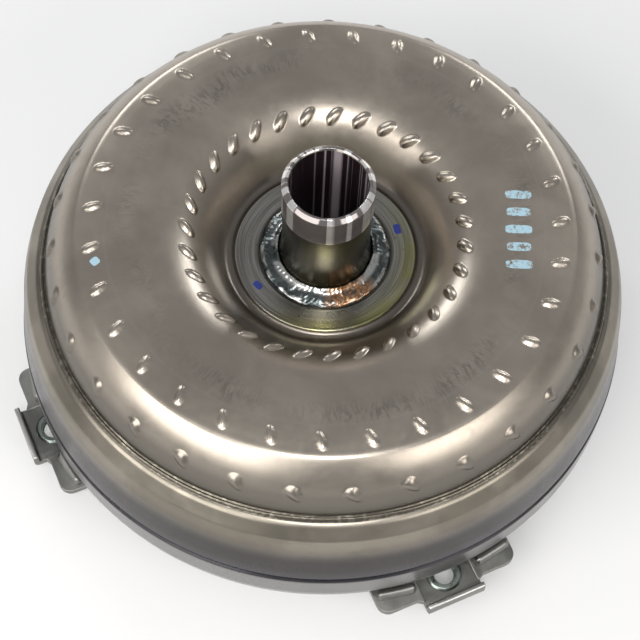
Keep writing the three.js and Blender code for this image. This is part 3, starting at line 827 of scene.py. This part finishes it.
def front_cover():
    outside = [
        (15.3, COVER_LOW, 0.5), (41.0, COVER_LOW, 3), (48.0, 21.5, 3), (76.0, 21.5, 3),
        (83.0, COVER_LOW, 3), (128.5, COVER_LOW, 6), (138.2, 22.8, 7), (COVER_R, 31.5, 9),
        (COVER_R, 45.0, 0.8), (COVER_R - 1.5, 46.5, 0.7), (COVER_R - 0.6, 48.3, 0.8),
        (136.5, 71.0, 16), (134.3, 78.2, 5), (129.0, 84.4, 4.5), (125.9, 85.2, 0.8),
    ]
    inside = [
        (125.9, 79.5, 0.5), (131.4, 71.0, 6), (135.2, 46.0, 3), (135.5, 32.0, 8),
        (127.0, COVER_FLOOR, 6), (85.0, COVER_FLOOR, 3), (77.0, 26.0, 3),
        (49.0, 26.0, 3), (42.0, COVER_FLOOR, 3), (15.3, COVER_FLOOR, 0.5),
    ]

    def shape(radius, height, angle):
        sag = 0.06 * waves(angle, height / 20, 8, 5, 8)
        outer = (radius > 130) & (height > 24)
        return radius + np.where(outer, np.minimum(sag, 0), 0), height

    return lathe(rounded(outside + inside, 0.5, 7, 1.0), 280, shape)


def pump_hub():
    neck = through([[HUB_FLANGE_R - 2.6, RING_Z + 0.4], [22.0, 90.6], [20.7, 93.2], [19.9, 96.6],
                    [NECK_R, 101.0]], 5)
    flange = [[BORE_R, HUB_LOW], [HUB_FLANGE_R, HUB_LOW], [HUB_FLANGE_R, RING_Z - 0.2],
              [HUB_FLANGE_R - 0.4, RING_Z + 0.2]]
    top = rounded([
        (NECK_R, 120.0, 0), (NECK_R, 128.1, 0.3), (JOURNAL_R, 128.6, 0.25),
        (JOURNAL_R, HUB_TOP - 1.9, 0.5), (JOURNAL_R - 1.7, HUB_TOP, 0.35),
        (BORE_R + 0.8, HUB_TOP, 0.3), (BORE_R, HUB_TOP - 0.9, 0.3), (BORE_R, 120.0, 0),
    ], 0.3, 4, 0.4)
    return lathe(np.vstack([flange, neck, top]), 192)


def hub_weld():
    """The fillet round the neck, in uneven overlapping waves, with beads of spatter beside it."""
    crown = through([[21.2, 91.0], [21.3, 93.3], [22.2, 93.0], [23.6, 92.2], [25.6, 91.6], [27.4, 91.0],
                     [28.7, 90.3],
                     [29.3, 89.6]], 5)
    section = np.vstack([crown, [[22.4, 89.6]]])
    centre = np.array([24.4, 89.0])

    def shape(radius, height, angle):
        lean = 0.5 * (radius - centre[0])
        lumps = 0.24 * waves(angle, radius, 3, 9, 26) + 0.06 * waves(angle, 2 * radius, 9, 9, 90)
        ripple = 0.05 * np.sin(58 * angle + lean + 2 * waves(angle, 0 * radius, 2, 4, 12))
        swell = (lumps + ripple) * np.clip((height - 89.7) / 1.0, 0, 1)
        edge = 0.35 * waves(angle, radius * 0, 4, 6, 26) * (radius > 28)
        out = np.stack([radius - centre[0], height - centre[1]])
        out = out / np.linalg.norm(out, axis=0)
        return radius + swell * out[0] + edge, np.maximum(height + swell * out[1], 89.55)

    bodies = [lathe(section, 460, shape)]
    draw = np.random.default_rng(12)
    for _ in range(14):
        size = draw.uniform(0.25, 0.6)
        drop = arc((0, 0), size, -60, 90, 6)
        drop = np.vstack([[[0.0, drop[0, 1]]], drop[:-1], [[0.0, size]]])
        points, faces = lathe(drop, 10)
        at, turn = draw.uniform(29.8, 35.5), draw.uniform(0, TURN)
        points = np.array(points) + [at * math.cos(turn), at * math.sin(turn), RING_Z + 0.3 * size]
        bodies.append((points, faces))
    return together(bodies)


def closure_weld():
    """The thin bead that closes the housing, with its fine ripples."""
    section = np.vstack([
        through([[SEAM_R - 0.1, 86.9], [SEAM_R + 0.35, 86.5], [SEAM_R + 0.6, 86.35], [126.3, 86.55],
                 [127.0, 86.1],
                 [127.45, 85.5], [127.9, 85.1]], 3),
        [[127.4, 84.6], [SEAM_R + 0.1, 84.6]],
    ])

    def shape(radius, height, angle):
        swell = 0.03 * np.sin(240 * angle + 2.2 * (radius - SEAM_R)) + 0.07 * waves(angle, radius, 6, 7, 50)
        crown = (height > 85.2) & (radius > SEAM_R + 0.2)
        return radius + np.where(crown, swell * 0.5, 0), height + np.where(crown, swell, 0)

    return lathe(section, 1440, shape)


def pilot_boss():
    return solid_of_revolution([
        (0, 0), (15.4, 0, 0.5), (BOSS_R, 1.6, 0.5), (BOSS_R, 11.0, 1.2),
        (26.0, 13.0, 1.0), (26.0, LUG_TOP, 0.4), (15.0, LUG_TOP, 0.3),
        (15.0, COVER_FLOOR - 0.2, 0.5), (0, COVER_FLOOR - 0.2),
    ], 144)


fit("impeller_shell", impeller_shell(), SHELL_STEEL, "skin", 60)
fit("front_cover", front_cover(), COVER_STEEL, "skin", 50)
fit("pump_hub", pump_hub(), HUB_STEEL, "turned")
fit("hub_weld", hub_weld(), HUB_WELD, "bead", 60)
fit("closure_weld", closure_weld(), SEAM_WELD, "bead", 60)


# ---------- drive lugs and nuts ----------

def drive_lug():
    """A lug on the X axis: two ears and a lower middle with an upturned lip. Its flange along the cover
    comes from lug_flange().
    """
    ears = [
        (146.0, 13.0, 0), (146.0, 14.0, 0.6), (144.5, 16.5, 1.6), (144.5, 34.0, 5.5), (122.0, 34.0, 2),
        (112.0, 22.0, 2), (112.0, 13.0, 0),
    ]
    ear = plate([rounded(ears, 0.5, 6, 0)], LUG_LOW + PAD_DROP, LUG_TOP, 0.4)
    other = (np.array(ear[0]) * [1, -1, 1], [face[::-1] for face in ear[1]])
    top, wall = LUG_TOP - PAD_DROP, 2.5
    profile = [
        (113.0, LUG_LOW, 0.7), (LUG_REACH, LUG_LOW, 2.6), (LUG_REACH, LIP_TOP, 1.0),
        (LUG_REACH - wall, LIP_TOP, 1.0), (LUG_REACH - wall, top, 1.4), (113.0, top, 0.7),
    ]
    tab = plate([rounded(profile, 0.4, 6, 0)], -TAB_HALF - 0.4, TAB_HALF + 0.4, 0.4)
    points = np.array(tab[0])
    tab = (np.stack([points[:, 0], -points[:, 2], points[:, 1]], -1), tab[1])
    body = combined(tab, [ear, other], "UNION")
    well = lathe([[0, LUG_LOW - 1], [NUT_R + 0.15, LUG_LOW - 1], [NUT_R + 0.15, LUG_TOP + 1],
                  [0, LUG_TOP + 1]], 64)
    well = (np.array(well[0]) + [BOLT_CIRCLE_R, 0, 0], well[1])
    return combined(body, [well])


def lug_flange(side):
    """The rounded bead along the cover's edge on one side of a lug, drawn as a sweep round the axis."""
    section = rounded([(137.6, 17.1, 0.3), (141.6, 17.1, 0.6), (142.0, 20.4, 1.4), (140.2, 23.0, 1.2),
                       (137.6, 21.4, 0.4)],
                      0.4, 4, 0)
    ends = np.radians(np.array([6.2, 13.4]) * side)
    angles = np.linspace(*ends, 26)
    shrink = np.clip(np.minimum(np.arange(26), 25 - np.arange(26)) / 2.0, 0, 1) ** 0.5
    middle = section.mean(0)
    rings = []
    for angle, share in zip(angles, shrink):
        outline = middle + (section - middle) * (0.55 + 0.45 * share)
        rings.append([(r * math.cos(angle), r * math.sin(angle), z) for r, z in outline])
    return swept(rings)


def drive_nut():
    """A round weld nut with a chamfered collar and a cut thread."""
    top = LUG_TOP + 0.15
    low = LUG_LOW + 0.3
    outside = rounded([(5.4, low, 0), (NUT_R, low, 0.5), (NUT_R, top - 0.9, 0.3),
                       (NUT_R - 1.0, top, 0.4), (5.4, top, 0.2)],
                      0.3, 4, 0.3)
    bore = np.stack([np.full(40, THREAD_R), np.linspace(top - 0.5, low + 0.3, 40)], -1)

    def shape(radius, height, angle):
        cut = (height / THREAD_PITCH - angle / TURN) % 1.0
        thread = THREAD_DEPTH * np.abs(2 * cut - 1)
        return radius + np.where(radius < THREAD_R + 0.1, thread, 0), height

    return lathe(np.vstack([outside[1:], bore]), 72, shape)


lugs = copies(together([drive_lug(), lug_flange(1), lug_flange(-1)]), LUGS)
nuts = copies(drive_nut(), LUGS, 0.0, BOLT_CIRCLE_R)
for number, (lug, nut) in enumerate(zip(lugs, nuts), 1):
    fit(f"drive_lug_{number}", lug, BRACKET_STEEL, "plate")
    fit(f"drive_nut_{number}", nut, PLATED_STEEL, "threaded", 40)


# ---------- finishes of the pieces inside ----------

def worked_surface(name, light, dark, roughness, lines=0.0, grain=900.0, depth=0.03, metallic=1.0,
                   film=None):
    """A cloudy tone between light and dark with grain, and on request turned lines and an oil film."""
    f = Finish(name, metallic)
    clouds = f.noise(70.0, 4.0, 0.6, 0.5)
    specks = f.noise(grain, 3.0, 0.7)
    colour = f.mix(f.step(clouds, 0.32, 0.68), dark, light)
    colour = f.mix(f.step(specks, 0.55, 0.78, 0.0, 0.35), colour, tuple(0.6 * v for v in dark))
    layers = [(clouds, 0.1, 0.2), (specks, 0.2, depth)]
    if film:
        colour = f.mix(f.step(f.noise(38.0, 3.0), 0.5, 0.72, 0.0, 0.55), colour, film)
    if lines:
        turned = f.turned(lines, 2.0)
        colour = f.mix(f.step(turned, 0.3, 0.7, 0.0, 0.3), colour, light)
        layers.append((turned, 0.14, 0.02))
    return f.done(colour, f.step(clouds, 0.3, 0.7, *roughness), f.bump(layers))


def friction_paper():
    """Brown friction paper, a felt of tangled fibres."""
    f = Finish("friction_paper", 0.0, 0.25)
    one_way = f.turned(700.0, 60.0, 6.0, 0.7, 3.0)
    other_way = f.radial(60.0, 500.0, 6.0, 0.7, 3.0)
    tangle = f.most(one_way, other_way)
    colour = f.mix(f.step(tangle, 0.45, 0.7), (0.1, 0.065, 0.04), (0.24, 0.165, 0.1))
    return f.done(colour, f.step(tangle, 0.4, 0.7, 0.95, 0.8), f.bump([(tangle, 0.5, 0.06)]))


TURNED_STEEL = worked_surface("turned_steel", (0.6, 0.58, 0.55), (0.46, 0.44, 0.42), (0.14, 0.24),
                              lines=1500.0)
STAMPED_STEEL = worked_surface("stamped_steel", (0.36, 0.345, 0.32), (0.25, 0.24, 0.225), (0.3, 0.44),
                               grain=1100.0, depth=0.04, film=(0.3, 0.24, 0.13))
CAST_ALUMINIUM = worked_surface("cast_aluminium", (0.62, 0.62, 0.63), (0.5, 0.5, 0.51), (0.42, 0.56),
                                grain=620.0, depth=0.09)
BEARING_STEEL = worked_surface("ground_bearing_steel", (0.66, 0.66, 0.67), (0.56, 0.56, 0.57), (0.1, 0.17),
                               lines=3200.0)
SPRING_STEEL = worked_surface("tempered_spring_steel", (0.14, 0.13, 0.13), (0.07, 0.065, 0.07),
                              (0.24, 0.36), grain=1500.0, depth=0.02, film=(0.1, 0.075, 0.05))
MOULDED_POLYMER = worked_surface("moulded_polymer", (0.045, 0.04, 0.036), (0.03, 0.027, 0.025),
                                 (0.42, 0.58), grain=1300.0, metallic=0.0)
FRICTION_PAPER = friction_paper()


# ---------- shapes of the pieces inside ----------

def circle(radius, count=96, at=0.0, angle=0.0):
    turn = np.arange(count) * TURN / count
    points = np.stack([at + radius * np.cos(turn), radius * np.sin(turn), 0 * turn], -1)
    return spun(points, angle)[:, :2]


def rounded_slot(low, high, width, angle=0.0, corner=1.2):
    """A rounded rectangle between two radii, turned round the axis."""
    corners = [(low, -width / 2), (high, -width / 2), (high, width / 2), (low, width / 2)]
    outline = rounded(corners, corner, 5, 0)
    return spun(np.column_stack([outline, np.zeros(len(outline))]), angle)[:, :2]


def pins(count, at, radius, low, high, start=0.0):
    """Round tools that cut holes on a circle."""
    return copies(lathe([[0, low], [radius, low], [radius, high], [0, high]], 32), count, start, at)


def pockets(low, high, width, bottom, top, start=0.0):
    return copies(plate([rounded_slot(low, high, width)], bottom, top, 0), SPRINGS, start)


def grooved(count, share, depth, above):
    """A shape for lathe() that cuts radial grooves into the rows on one side of a height."""
    def shape(radius, height, angle):
        near = np.abs((angle * count / TURN) % 1 - 0.5)
        cut = depth * np.clip((share / 2 - near) * 12 / share, 0, 1)
        return radius + 0 * angle, height - np.where(height > above, cut, 0)
    return shape


def splined(corners, low, high, teeth):
    """A turned body whose bore carries straight splines between two radii."""
    def shape(radius, height, angle):
        phase = np.abs((angle * teeth / TURN + 0.5) % 1 - 0.5)
        groove = np.clip((0.32 - phase) / 0.14, 0, 1)
        return np.maximum(radius, low + (high - low) * groove), height
    return solid_of_revolution(corners, teeth * 14, 0.4, shape)


def outer_race():
    """The one-way clutch's outer race, with a ramp for each roller."""
    angle = np.arange(0, 360, 0.75)
    radius = np.interp((angle + 30) % 60 - 30, [-30, -22, -14, -4, 12, 14, 30],
                       [32.6, 32.6, 35.2, 34.9, 34.3, 32.6, 32.6])
    ramps = np.stack([radius * np.cos(np.radians(angle)), radius * np.sin(np.radians(angle))], -1)
    return plate([circle(43.7), ramps], low_of("clutch_outer_race"), high_of("clutch_outer_race"), 0.35)


def thrust_bearing(node):
    """A stamped cage with a pocket for each of its needles, which lie like spokes."""
    low = low_of(node) + 0.5
    holes = [rounded_slot(29.3, 37.7, 2.9, i * TURN / NEEDLES, 0.4) for i in range(NEEDLES)]
    cage = plate([circle(39.2), circle(27.8), *holes], low, low + 1.6, 0.2)
    points, faces = solid_of_revolution([(0, -4), (1.3, -4, 0.3), (1.3, 4, 0.3), (0, 4)], 20)
    needle = np.asarray(points)[:, [2, 0, 1]] + [33.5, 0, low + 0.8]
    return together([cage, *copies((needle, faces), NEEDLES)])


def blade(outer_path, inner_path, angles, bow=0.8, sheet=1.3):
    """A thin curved blade between two paths of (radius, height), with an angle in degrees at each point."""
    outer, inner = (through([(*at, angle) for at, angle in zip(path, angles)], 5)
                    for path in (outer_path, inner_path))
    share = np.linspace(0, 1, 7)[None, :, None]
    middle = outer[:, None] * (1 - share) + inner[:, None] * share
    middle[..., 2] += bow * np.sin(math.pi * share[..., 0])
    r, z, turn = middle[..., 0], middle[..., 1], np.radians(middle[..., 2])
    near, far = (np.stack([r * np.cos(a), r * np.sin(a), z], -1)
                 for a in (turn - sheet / 2 / r, turn + sheet / 2 / r))
    return swept(np.concatenate([near, far[:, ::-1]], 1))


def core_ring(side):
    """The ring that joins the blades' inner edges: side is 1 in the impeller and -1 in the turbine."""
    def sheet(offset):
        return [(FLOW_R + (r - FLOW_R) * (1 + offset / 15), FLOW_Z + side * (h + (offset if h > 3 else 0)),
                 3.0 if h > 3 else 0.3) for r, h in CORE_PATH]
    return lathe(rounded(sheet(0.7) + sheet(-0.7)[::-1], 0.3, 5), 186)


def blade_wheel(outer_path, core_path, angles, side, count):
    inner = [(r, FLOW_Z + side * h) for r, h in core_path]
    return together([core_ring(side), *copies(blade(outer_path, inner, angles), count)])


def turbine_shell():
    body = solid_of_revolution([
        (40.2, 50.3), (55, 50.3, 9), (70, 45.6, 16), (86, 44, 24), (101, 46.8, 18),
        (113.5, 55.5, 16), (120.3, 74, 0.6), (118.3, 74, 0.6), (111.9, 56.6, 14),
        (100.3, 48.7, 16), (86, 46.1, 24), (70.5, 47.6, 16), (55.5, 52.3, 9), (40.2, 52.3),
    ], 168)
    return combined(body, pins(RIVETS, RIVET_CIRCLE_R, RIVET_HOLE_R, 48, 54))


def turbine_hub():
    body = splined([
        (11.2, 26.0), (20.5, 26.0), (22.0, 27.5), (22.0, 45.6, 1.2), (50.0, 45.6),
        (50.0, 50.0), (24.0, 50.0, 1.2), (24.0, 56.2), (11.2, 56.2),
    ], 11.2, 12.6, 14)
    return combined(body, pins(RIVETS, RIVET_CIRCLE_R, RIVET_HOLE_R, 44, 52))


def driven_plate():
    body = solid_of_revolution([
        (38.0, 42.8), (50.0, 42.8, 3), (62.0, 36.0, 3), (115.5, 36.0),
        (115.5, 39.0), (63.0, 39.0, 3), (51.0, 45.3, 3), (38.0, 45.3),
    ], 168)
    windows = pockets(100.3, 130, WINDOW_LENGTH, 34, 41)
    return combined(body, windows + pins(RIVETS, RIVET_CIRCLE_R, RIVET_HOLE_R, 41, 47))


def fingered_edge():
    """The outline of a plate with a short finger beside each spring."""
    edge = []
    for k in range(SPRINGS):
        middle = (k + 0.25) * TURN / SPRINGS
        root, tip = FINGER_HALF / PLATE_R, FINGER_HALF / FINGER_R
        edge += [(PLATE_R, middle - root, 1), (FINGER_R, middle - tip, 1.5)]
        edge += [(FINGER_R, middle + tip, 1.5), (PLATE_R, middle + root, 1)]
        gap = np.linspace(middle + root, middle - root + TURN / SPRINGS, 26)[1:-1]
        edge += [(PLATE_R, turn, 0) for turn in gap]
    return rounded([(r * math.cos(a), r * math.sin(a), own) for r, a, own in edge], 1, 4, 0)


def drive_plate(node, edge):
    """A plate over the springs, with a window for each and a hole for each spacer rivet."""
    step = TURN / SPRINGS
    windows = [rounded_slot(*WINDOW_R, WINDOW_LENGTH, k * step, 2) for k in range(SPRINGS)]
    holes = [circle(2.6, 24, SPACER_CIRCLE_R, (k + 0.5) * step) for k in range(SPRINGS)]
    return plate([edge, circle(93, 160), *windows, *holes], low_of(node), high_of(node))


def damper_spring():
    """A round-wire coil along Y at angle 0, with closed end turns that are ground flat."""
    wire, coil = SPRING_WIRE / 2, (SPRING_D - SPRING_WIRE) / 2
    turns = np.linspace(0, SPRING_COILS + 2, (SPRING_COILS + 2) * 36 + 1)
    reach = SPRING_LENGTH - SPRING_WIRE / 2
    along = np.interp(turns, [0, 1, SPRING_COILS + 1, SPRING_COILS + 2],
                      [0, SPRING_WIRE, reach - SPRING_WIRE, reach]) - reach / 2
    rise = np.gradient(along, turns * TURN)
    angle = turns * TURN
    out = np.stack([np.cos(angle), 0 * angle, np.sin(angle)], -1)
    tangent = np.stack([-coil * np.sin(angle), rise, coil * np.cos(angle)], -1)
    tangent /= np.linalg.norm(tangent, axis=1)[:, None]
    side = np.cross(tangent, out)
    centre = coil * out + np.stack([0 * along, along, 0 * along], -1)
    section = np.arange(14) * TURN / 14
    rings = (centre[:, None] + wire * np.cos(section)[None, :, None] * out[:, None]
             + wire * np.sin(section)[None, :, None] * side[:, None])
    rings[..., 1] = np.clip(rings[..., 1], -SPRING_LENGTH / 2, SPRING_LENGTH / 2)
    return swept(rings + [SPRING_CIRCLE_R, 0, SPRING_Z])


def lockup_piston():
    body = solid_of_revolution([
        (22.8, 30.0), (79.0, 30.0, 4), (88.0, 24.6, 4), (125.5, 24.6, 4), (129.5, 29.0, 3),
        (129.5, 36.0), (126.6, 36.0),
        (126.6, 28.1, 2), (89.5, 28.1, 4), (80.5, 33.5, 4), (28.0, 33.5, 1.5), (28.0, 41.0),
        (22.8, 41.0), (22.8, 36.8),
        (25.2, 36.8, 0.2), (25.2, 33.7, 0.2), (22.8, 33.7),
    ], 180)
    return combined(body, pockets(125.5, 134, 15, 30.6, 38, TURN / 24))


def stator_wheel():
    """The cast hub and shroud, with cambered vanes that are thick at the leading edge."""
    hub = solid_of_revolution([
        (30, 55.9), (46, 55.9, 1.5), (52, 59, 2.5), (52, 81, 1), (50.5, 82.4), (44, 82.4),
        (44, 81.6), (45.8, 81.6, 0.1), (45.8, 80, 0.1), (44, 80), (44, 58.4), (30, 58.4),
    ], 156)
    shroud = solid_of_revolution([(69.2, 64), (71.2, 64), (71.2, 77), (69.2, 77)], 156, 0.8)
    s = np.concatenate([np.linspace(0, 1, 18) ** 2, 1 - np.linspace(0, 1, 18)[1:-1] ** 0.6])
    side = np.concatenate([np.ones(18), -np.ones(16)])
    thick = 5 * 0.25 * (0.2969 * np.sqrt(s) - 0.126 * s - 0.3516 * s ** 2 + 0.2843 * s ** 3
                        - 0.0995 * s ** 4)
    camber = 5.2 * s ** 1.35 - 2.0
    outline = np.stack([0 * s, camber + side * thick * 16 * 0.98, 78.5 - 15.8 * s], -1)
    vane = swept([outline + [r, 0, 0] for r in np.linspace(51, 70.2, 9)])
    return together([hub, shroud, *copies(vane, VANES)])


def split_ring(inner, outer, low, high, gap):
    """A spring ring, open over an angle."""
    section = rounded([(inner, low), (outer, low), (outer, high), (inner, high)], 0.25, 4, 0)
    turns = np.linspace(gap / 2, TURN - gap / 2, 120)
    return swept([[(r * math.cos(a), r * math.sin(a), z) for r, z in section] for a in turns])


# ---------- the pieces inside ----------

def ring_for(node, inner, outer, columns=144, radius=0.3, shape=None):
    low, high = low_of(node), high_of(node)
    return solid_of_revolution([(inner, low), (outer, low), (outer, high), (inner, high)], columns,
                               radius, shape)


def rivet(low, high, shank, head, head_height):
    """A rivet on the axis, with a dome at each end."""
    return solid_of_revolution([
        (0, low), (head, low, 1.7), (head, low + head_height, 0.15), (shank, low + head_height, 0.2),
        (shank, high - head_height, 0.2), (head, high - head_height, 0.15), (head, high, 1.7), (0, high),
    ], 32)


core_inlet, core_inner, core_outer, core_outlet = CORE_PATH
fit("impeller_blades", blade_wheel(
    [(61.5, 88), (64.8, 102.6), (88, 107.9), (109.5, 104.4), (119.6, 84)],
    [core_inlet, core_inner, (88, 12.5), core_outer, core_outlet], [1.8, 1.8, -0.95, -4, -6.8], 1, BLADES),
    STAMPED_STEEL, "formed")
fit("turbine_blades", blade_wheel(
    [(58.5, 52.7), (86, 47), (107, 54.8), (115.8, 71)],
    [core_inner, (88, 12.5), core_outer, core_outlet], [-4, -1, 1, 5], -1, TURBINE_BLADES),
    STAMPED_STEEL, "formed")
fit("turbine_shell", turbine_shell(), STAMPED_STEEL, "formed", 40)
fit("pilot_boss", pilot_boss(), TURNED_STEEL, "turned")
fit("turbine_hub", turbine_hub(), TURNED_STEEL, "splined")
fit("driven_plate", driven_plate(), STAMPED_STEEL, "formed", 40)
fit("front_drive_plate", drive_plate("front_drive_plate", fingered_edge()), STAMPED_STEEL, "blanked")
fit("rear_drive_plate", drive_plate("rear_drive_plate", circle(PLATE_R, 160)), STAMPED_STEEL, "blanked")
fit("lockup_piston", lockup_piston(), STAMPED_STEEL, "formed", 40)
fit("friction_lining", ring_for("friction_lining", 103, 124, 240, 0.15), FRICTION_PAPER, "ring")
fit("piston_seal", ring_for("piston_seal", 22.5, 24.9, 120, 0.7), MOULDED_POLYMER, "ring")
fit("cover_thrust_washer", ring_for("cover_thrust_washer", 14, 24, 160, 0.3, grooved(8, 0.12, 0.7, 24.5)),
    MOULDED_POLYMER, "grooved")

fit("stator_wheel", stator_wheel(), CAST_ALUMINIUM, "cast", 45)
fit("stator_end_plate", ring_for("stator_end_plate", 27.5, 43.6, 208, 0.4, grooved(4, 0.07, 0.8, 79.0)),
    CAST_ALUMINIUM, "cast")
fit("snap_ring", split_ring(41.5, 45.5, low_of("snap_ring"), high_of("snap_ring"), 0.12),
    SPRING_STEEL, "split")
fit("clutch_outer_race", outer_race(), BEARING_STEEL, "ramped")
fit("clutch_inner_race", splined([(13.9, 59.0), (26.5, 59.0), (26.5, 79.8), (13.9, 79.8)], 13.9, 15.3, 18),
    BEARING_STEEL, "splined")
cage = solid_of_revolution([(27.6, 60.4), (31.6, 60.4), (31.6, 76.4), (27.6, 76.4)], 144, 0.4)
fit("clutch_roller_cage", combined(cage, pockets(26, 34, 7.8, 62, 78)), MOULDED_POLYMER, "moulded")
for node, outer in {"rear_thrust_race": 40.0, "front_thrust_race": 39.6}.items():
    fit(node, ring_for(node, 27.5, outer), BEARING_STEEL, "ground")
for node in ("rear_bearing_cage", "front_bearing_cage"):
    fit(node, thrust_bearing(node), BEARING_STEEL, "needles")

roller = solid_of_revolution([(0, 62.4), (3.4, 62.4, 0.5), (3.4, 76.0, 0.5), (0, 76.0)], 40)
fit_all("clutch_roller", copies(roller, ROLLERS, 0.0, 30.3), BEARING_STEEL, "ground")
fit_all("hub_rivet", copies(rivet(40.9, 54.1, 2.4, 4.1, 1.55), RIVETS, 0.0, RIVET_CIRCLE_R),
        STAMPED_STEEL, "headed")
fit_all("spacer_rivet", copies(rivet(29.6, 45.4, 2.1, 3.6, 1.4), SPRINGS, TURN / 2 / SPRINGS,
                               SPACER_CIRCLE_R),
        STAMPED_STEEL, "headed")
springs = fit_all("damper_spring", copies(damper_spring(), SPRINGS), SPRING_STEEL, "coil", 60)
for number, spring in enumerate(springs):
    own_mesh(spring)


# ---------- floor, lights and camera ----------

FLOOR_REACH = 4.0                 # in metres
FLOOR_HEIGHT = -0.0002            # just clear of the pilot boss


def floor():
    mesh = bpy.data.meshes.new("floor")
    corners = [(-1, -1), (1, -1), (1, 1), (-1, 1)]
    mesh.from_pydata([(FLOOR_REACH * x, FLOOR_REACH * y, FLOOR_HEIGHT) for x, y in corners], [],
                     [(0, 1, 2, 3)])
    thing = shown("floor", mesh)
    f = Finish("pale_floor", 0.0, 0.1)
    tone = f.mix(f.step(f.noise(3.0, 2.0), 0.3, 0.7), (0.76, 0.76, 0.76), (0.79, 0.79, 0.79))
    thing.data.materials.append(f.done(tone, 0.9))


def turned_about_z(vector, degrees):
    return Matrix.Rotation(math.radians(degrees), 3, "Z") @ Vector(vector)


HORIZON_LIGHT = 0.34
CEILING_LIGHT = 0.40
VIEW_TURN = 63.5                  # the view is turned this much round the axis, in degrees
VIEW_ELEVATION = 62.1
VIEW_ROLL = 3.052
VIEW_DISTANCE = 0.7070
VIEW_SHIFT = (-0.00286, -0.04152)  # across and up, in metres


def soft_light(name, azimuth, elevation, distance, size, power, colour=(1, 1, 1), target=(0, 0, 0.08)):
    """An area light aimed at the part. Azimuth is from the camera's side, positive to its right."""
    lamp = bpy.data.lights.new(name, "AREA")
    lamp.shape = "RECTANGLE"
    lamp.size, lamp.size_y = size
    lamp.energy = power
    lamp.color = colour
    thing = shown(name, lamp)
    a, e = math.radians(azimuth), math.radians(elevation)
    back = Vector((math.sin(a) * math.cos(e), -math.cos(a) * math.cos(e), math.sin(e)))
    back = turned_about_z(back, VIEW_TURN)
    thing.location = Vector(target) + back * distance
    thing.rotation_euler = back.to_track_quat("Z", "Y").to_euler()


def camera():
    e, roll = math.radians(VIEW_ELEVATION), math.radians(VIEW_ROLL)
    back = turned_about_z((0, -math.cos(e), math.sin(e)), VIEW_TURN)
    right = turned_about_z((1, 0, 0), VIEW_TURN)
    up = back.cross(right)
    x = right * math.cos(roll) + up * math.sin(roll)
    y = up * math.cos(roll) - right * math.sin(roll)
    data = bpy.data.cameras.new("camera")
    data.lens = 91.24
    data.sensor_width = 36.0
    data.clip_start, data.clip_end = 0.01, 50
    thing = shown("camera", data)
    place_at = Vector((0, 0, 0.112)) + x * VIEW_SHIFT[0] + y * VIEW_SHIFT[1] + back * VIEW_DISTANCE
    thing.matrix_world = Matrix.Translation(place_at) @ Matrix((x, y, back)).transposed().to_4x4()
    bpy.context.scene.camera = thing


def surroundings():
    """Light from all round: a pale horizon under a dimmer ceiling."""
    world = bpy.data.worlds.new("studio")
    bpy.context.scene.world = world
    world.use_nodes = True
    tree = world.node_tree
    towards = tree.nodes.new("ShaderNodeTexCoord").outputs["Generated"]
    parts = tree.nodes.new("ShaderNodeSeparateXYZ")
    tree.links.new(towards, parts.inputs[0])
    rise = tree.nodes.new("ShaderNodeMapRange")
    rise.interpolation_type = "SMOOTHSTEP"
    tree.links.new(parts.outputs["Z"], rise.inputs["Value"])
    span = {"From Min": 0.15, "From Max": 0.8, "To Min": HORIZON_LIGHT, "To Max": CEILING_LIGHT}
    for name, value in span.items():
        rise.inputs[name].default_value = value
    ground = tree.nodes["Background"]
    ground.inputs["Color"].default_value = (0.96, 0.97, 1.0, 1)
    tree.links.new(rise.outputs[0], ground.inputs["Strength"])


floor()
surroundings()
soft_light("key_left", -42, 34, 1.6, (1.4, 1.0), 18.5, (1.0, 0.98, 0.95))
soft_light("fill_right", 46, 30, 1.6, (0.9, 0.7), 7.5, (1.0, 0.97, 0.93))
soft_light("back_left", -152, 22, 1.7, (0.7, 0.4), 5, (0.96, 0.98, 1.0))
soft_light("back_right", 150, 22, 1.7, (0.7, 0.4), 5, (0.96, 0.98, 1.0))
soft_light("overhead", 0, 62, 2.4, (0.6, 0.6), 22)
camera()
bpy.context.scene.view_settings.view_transform = "Standard"
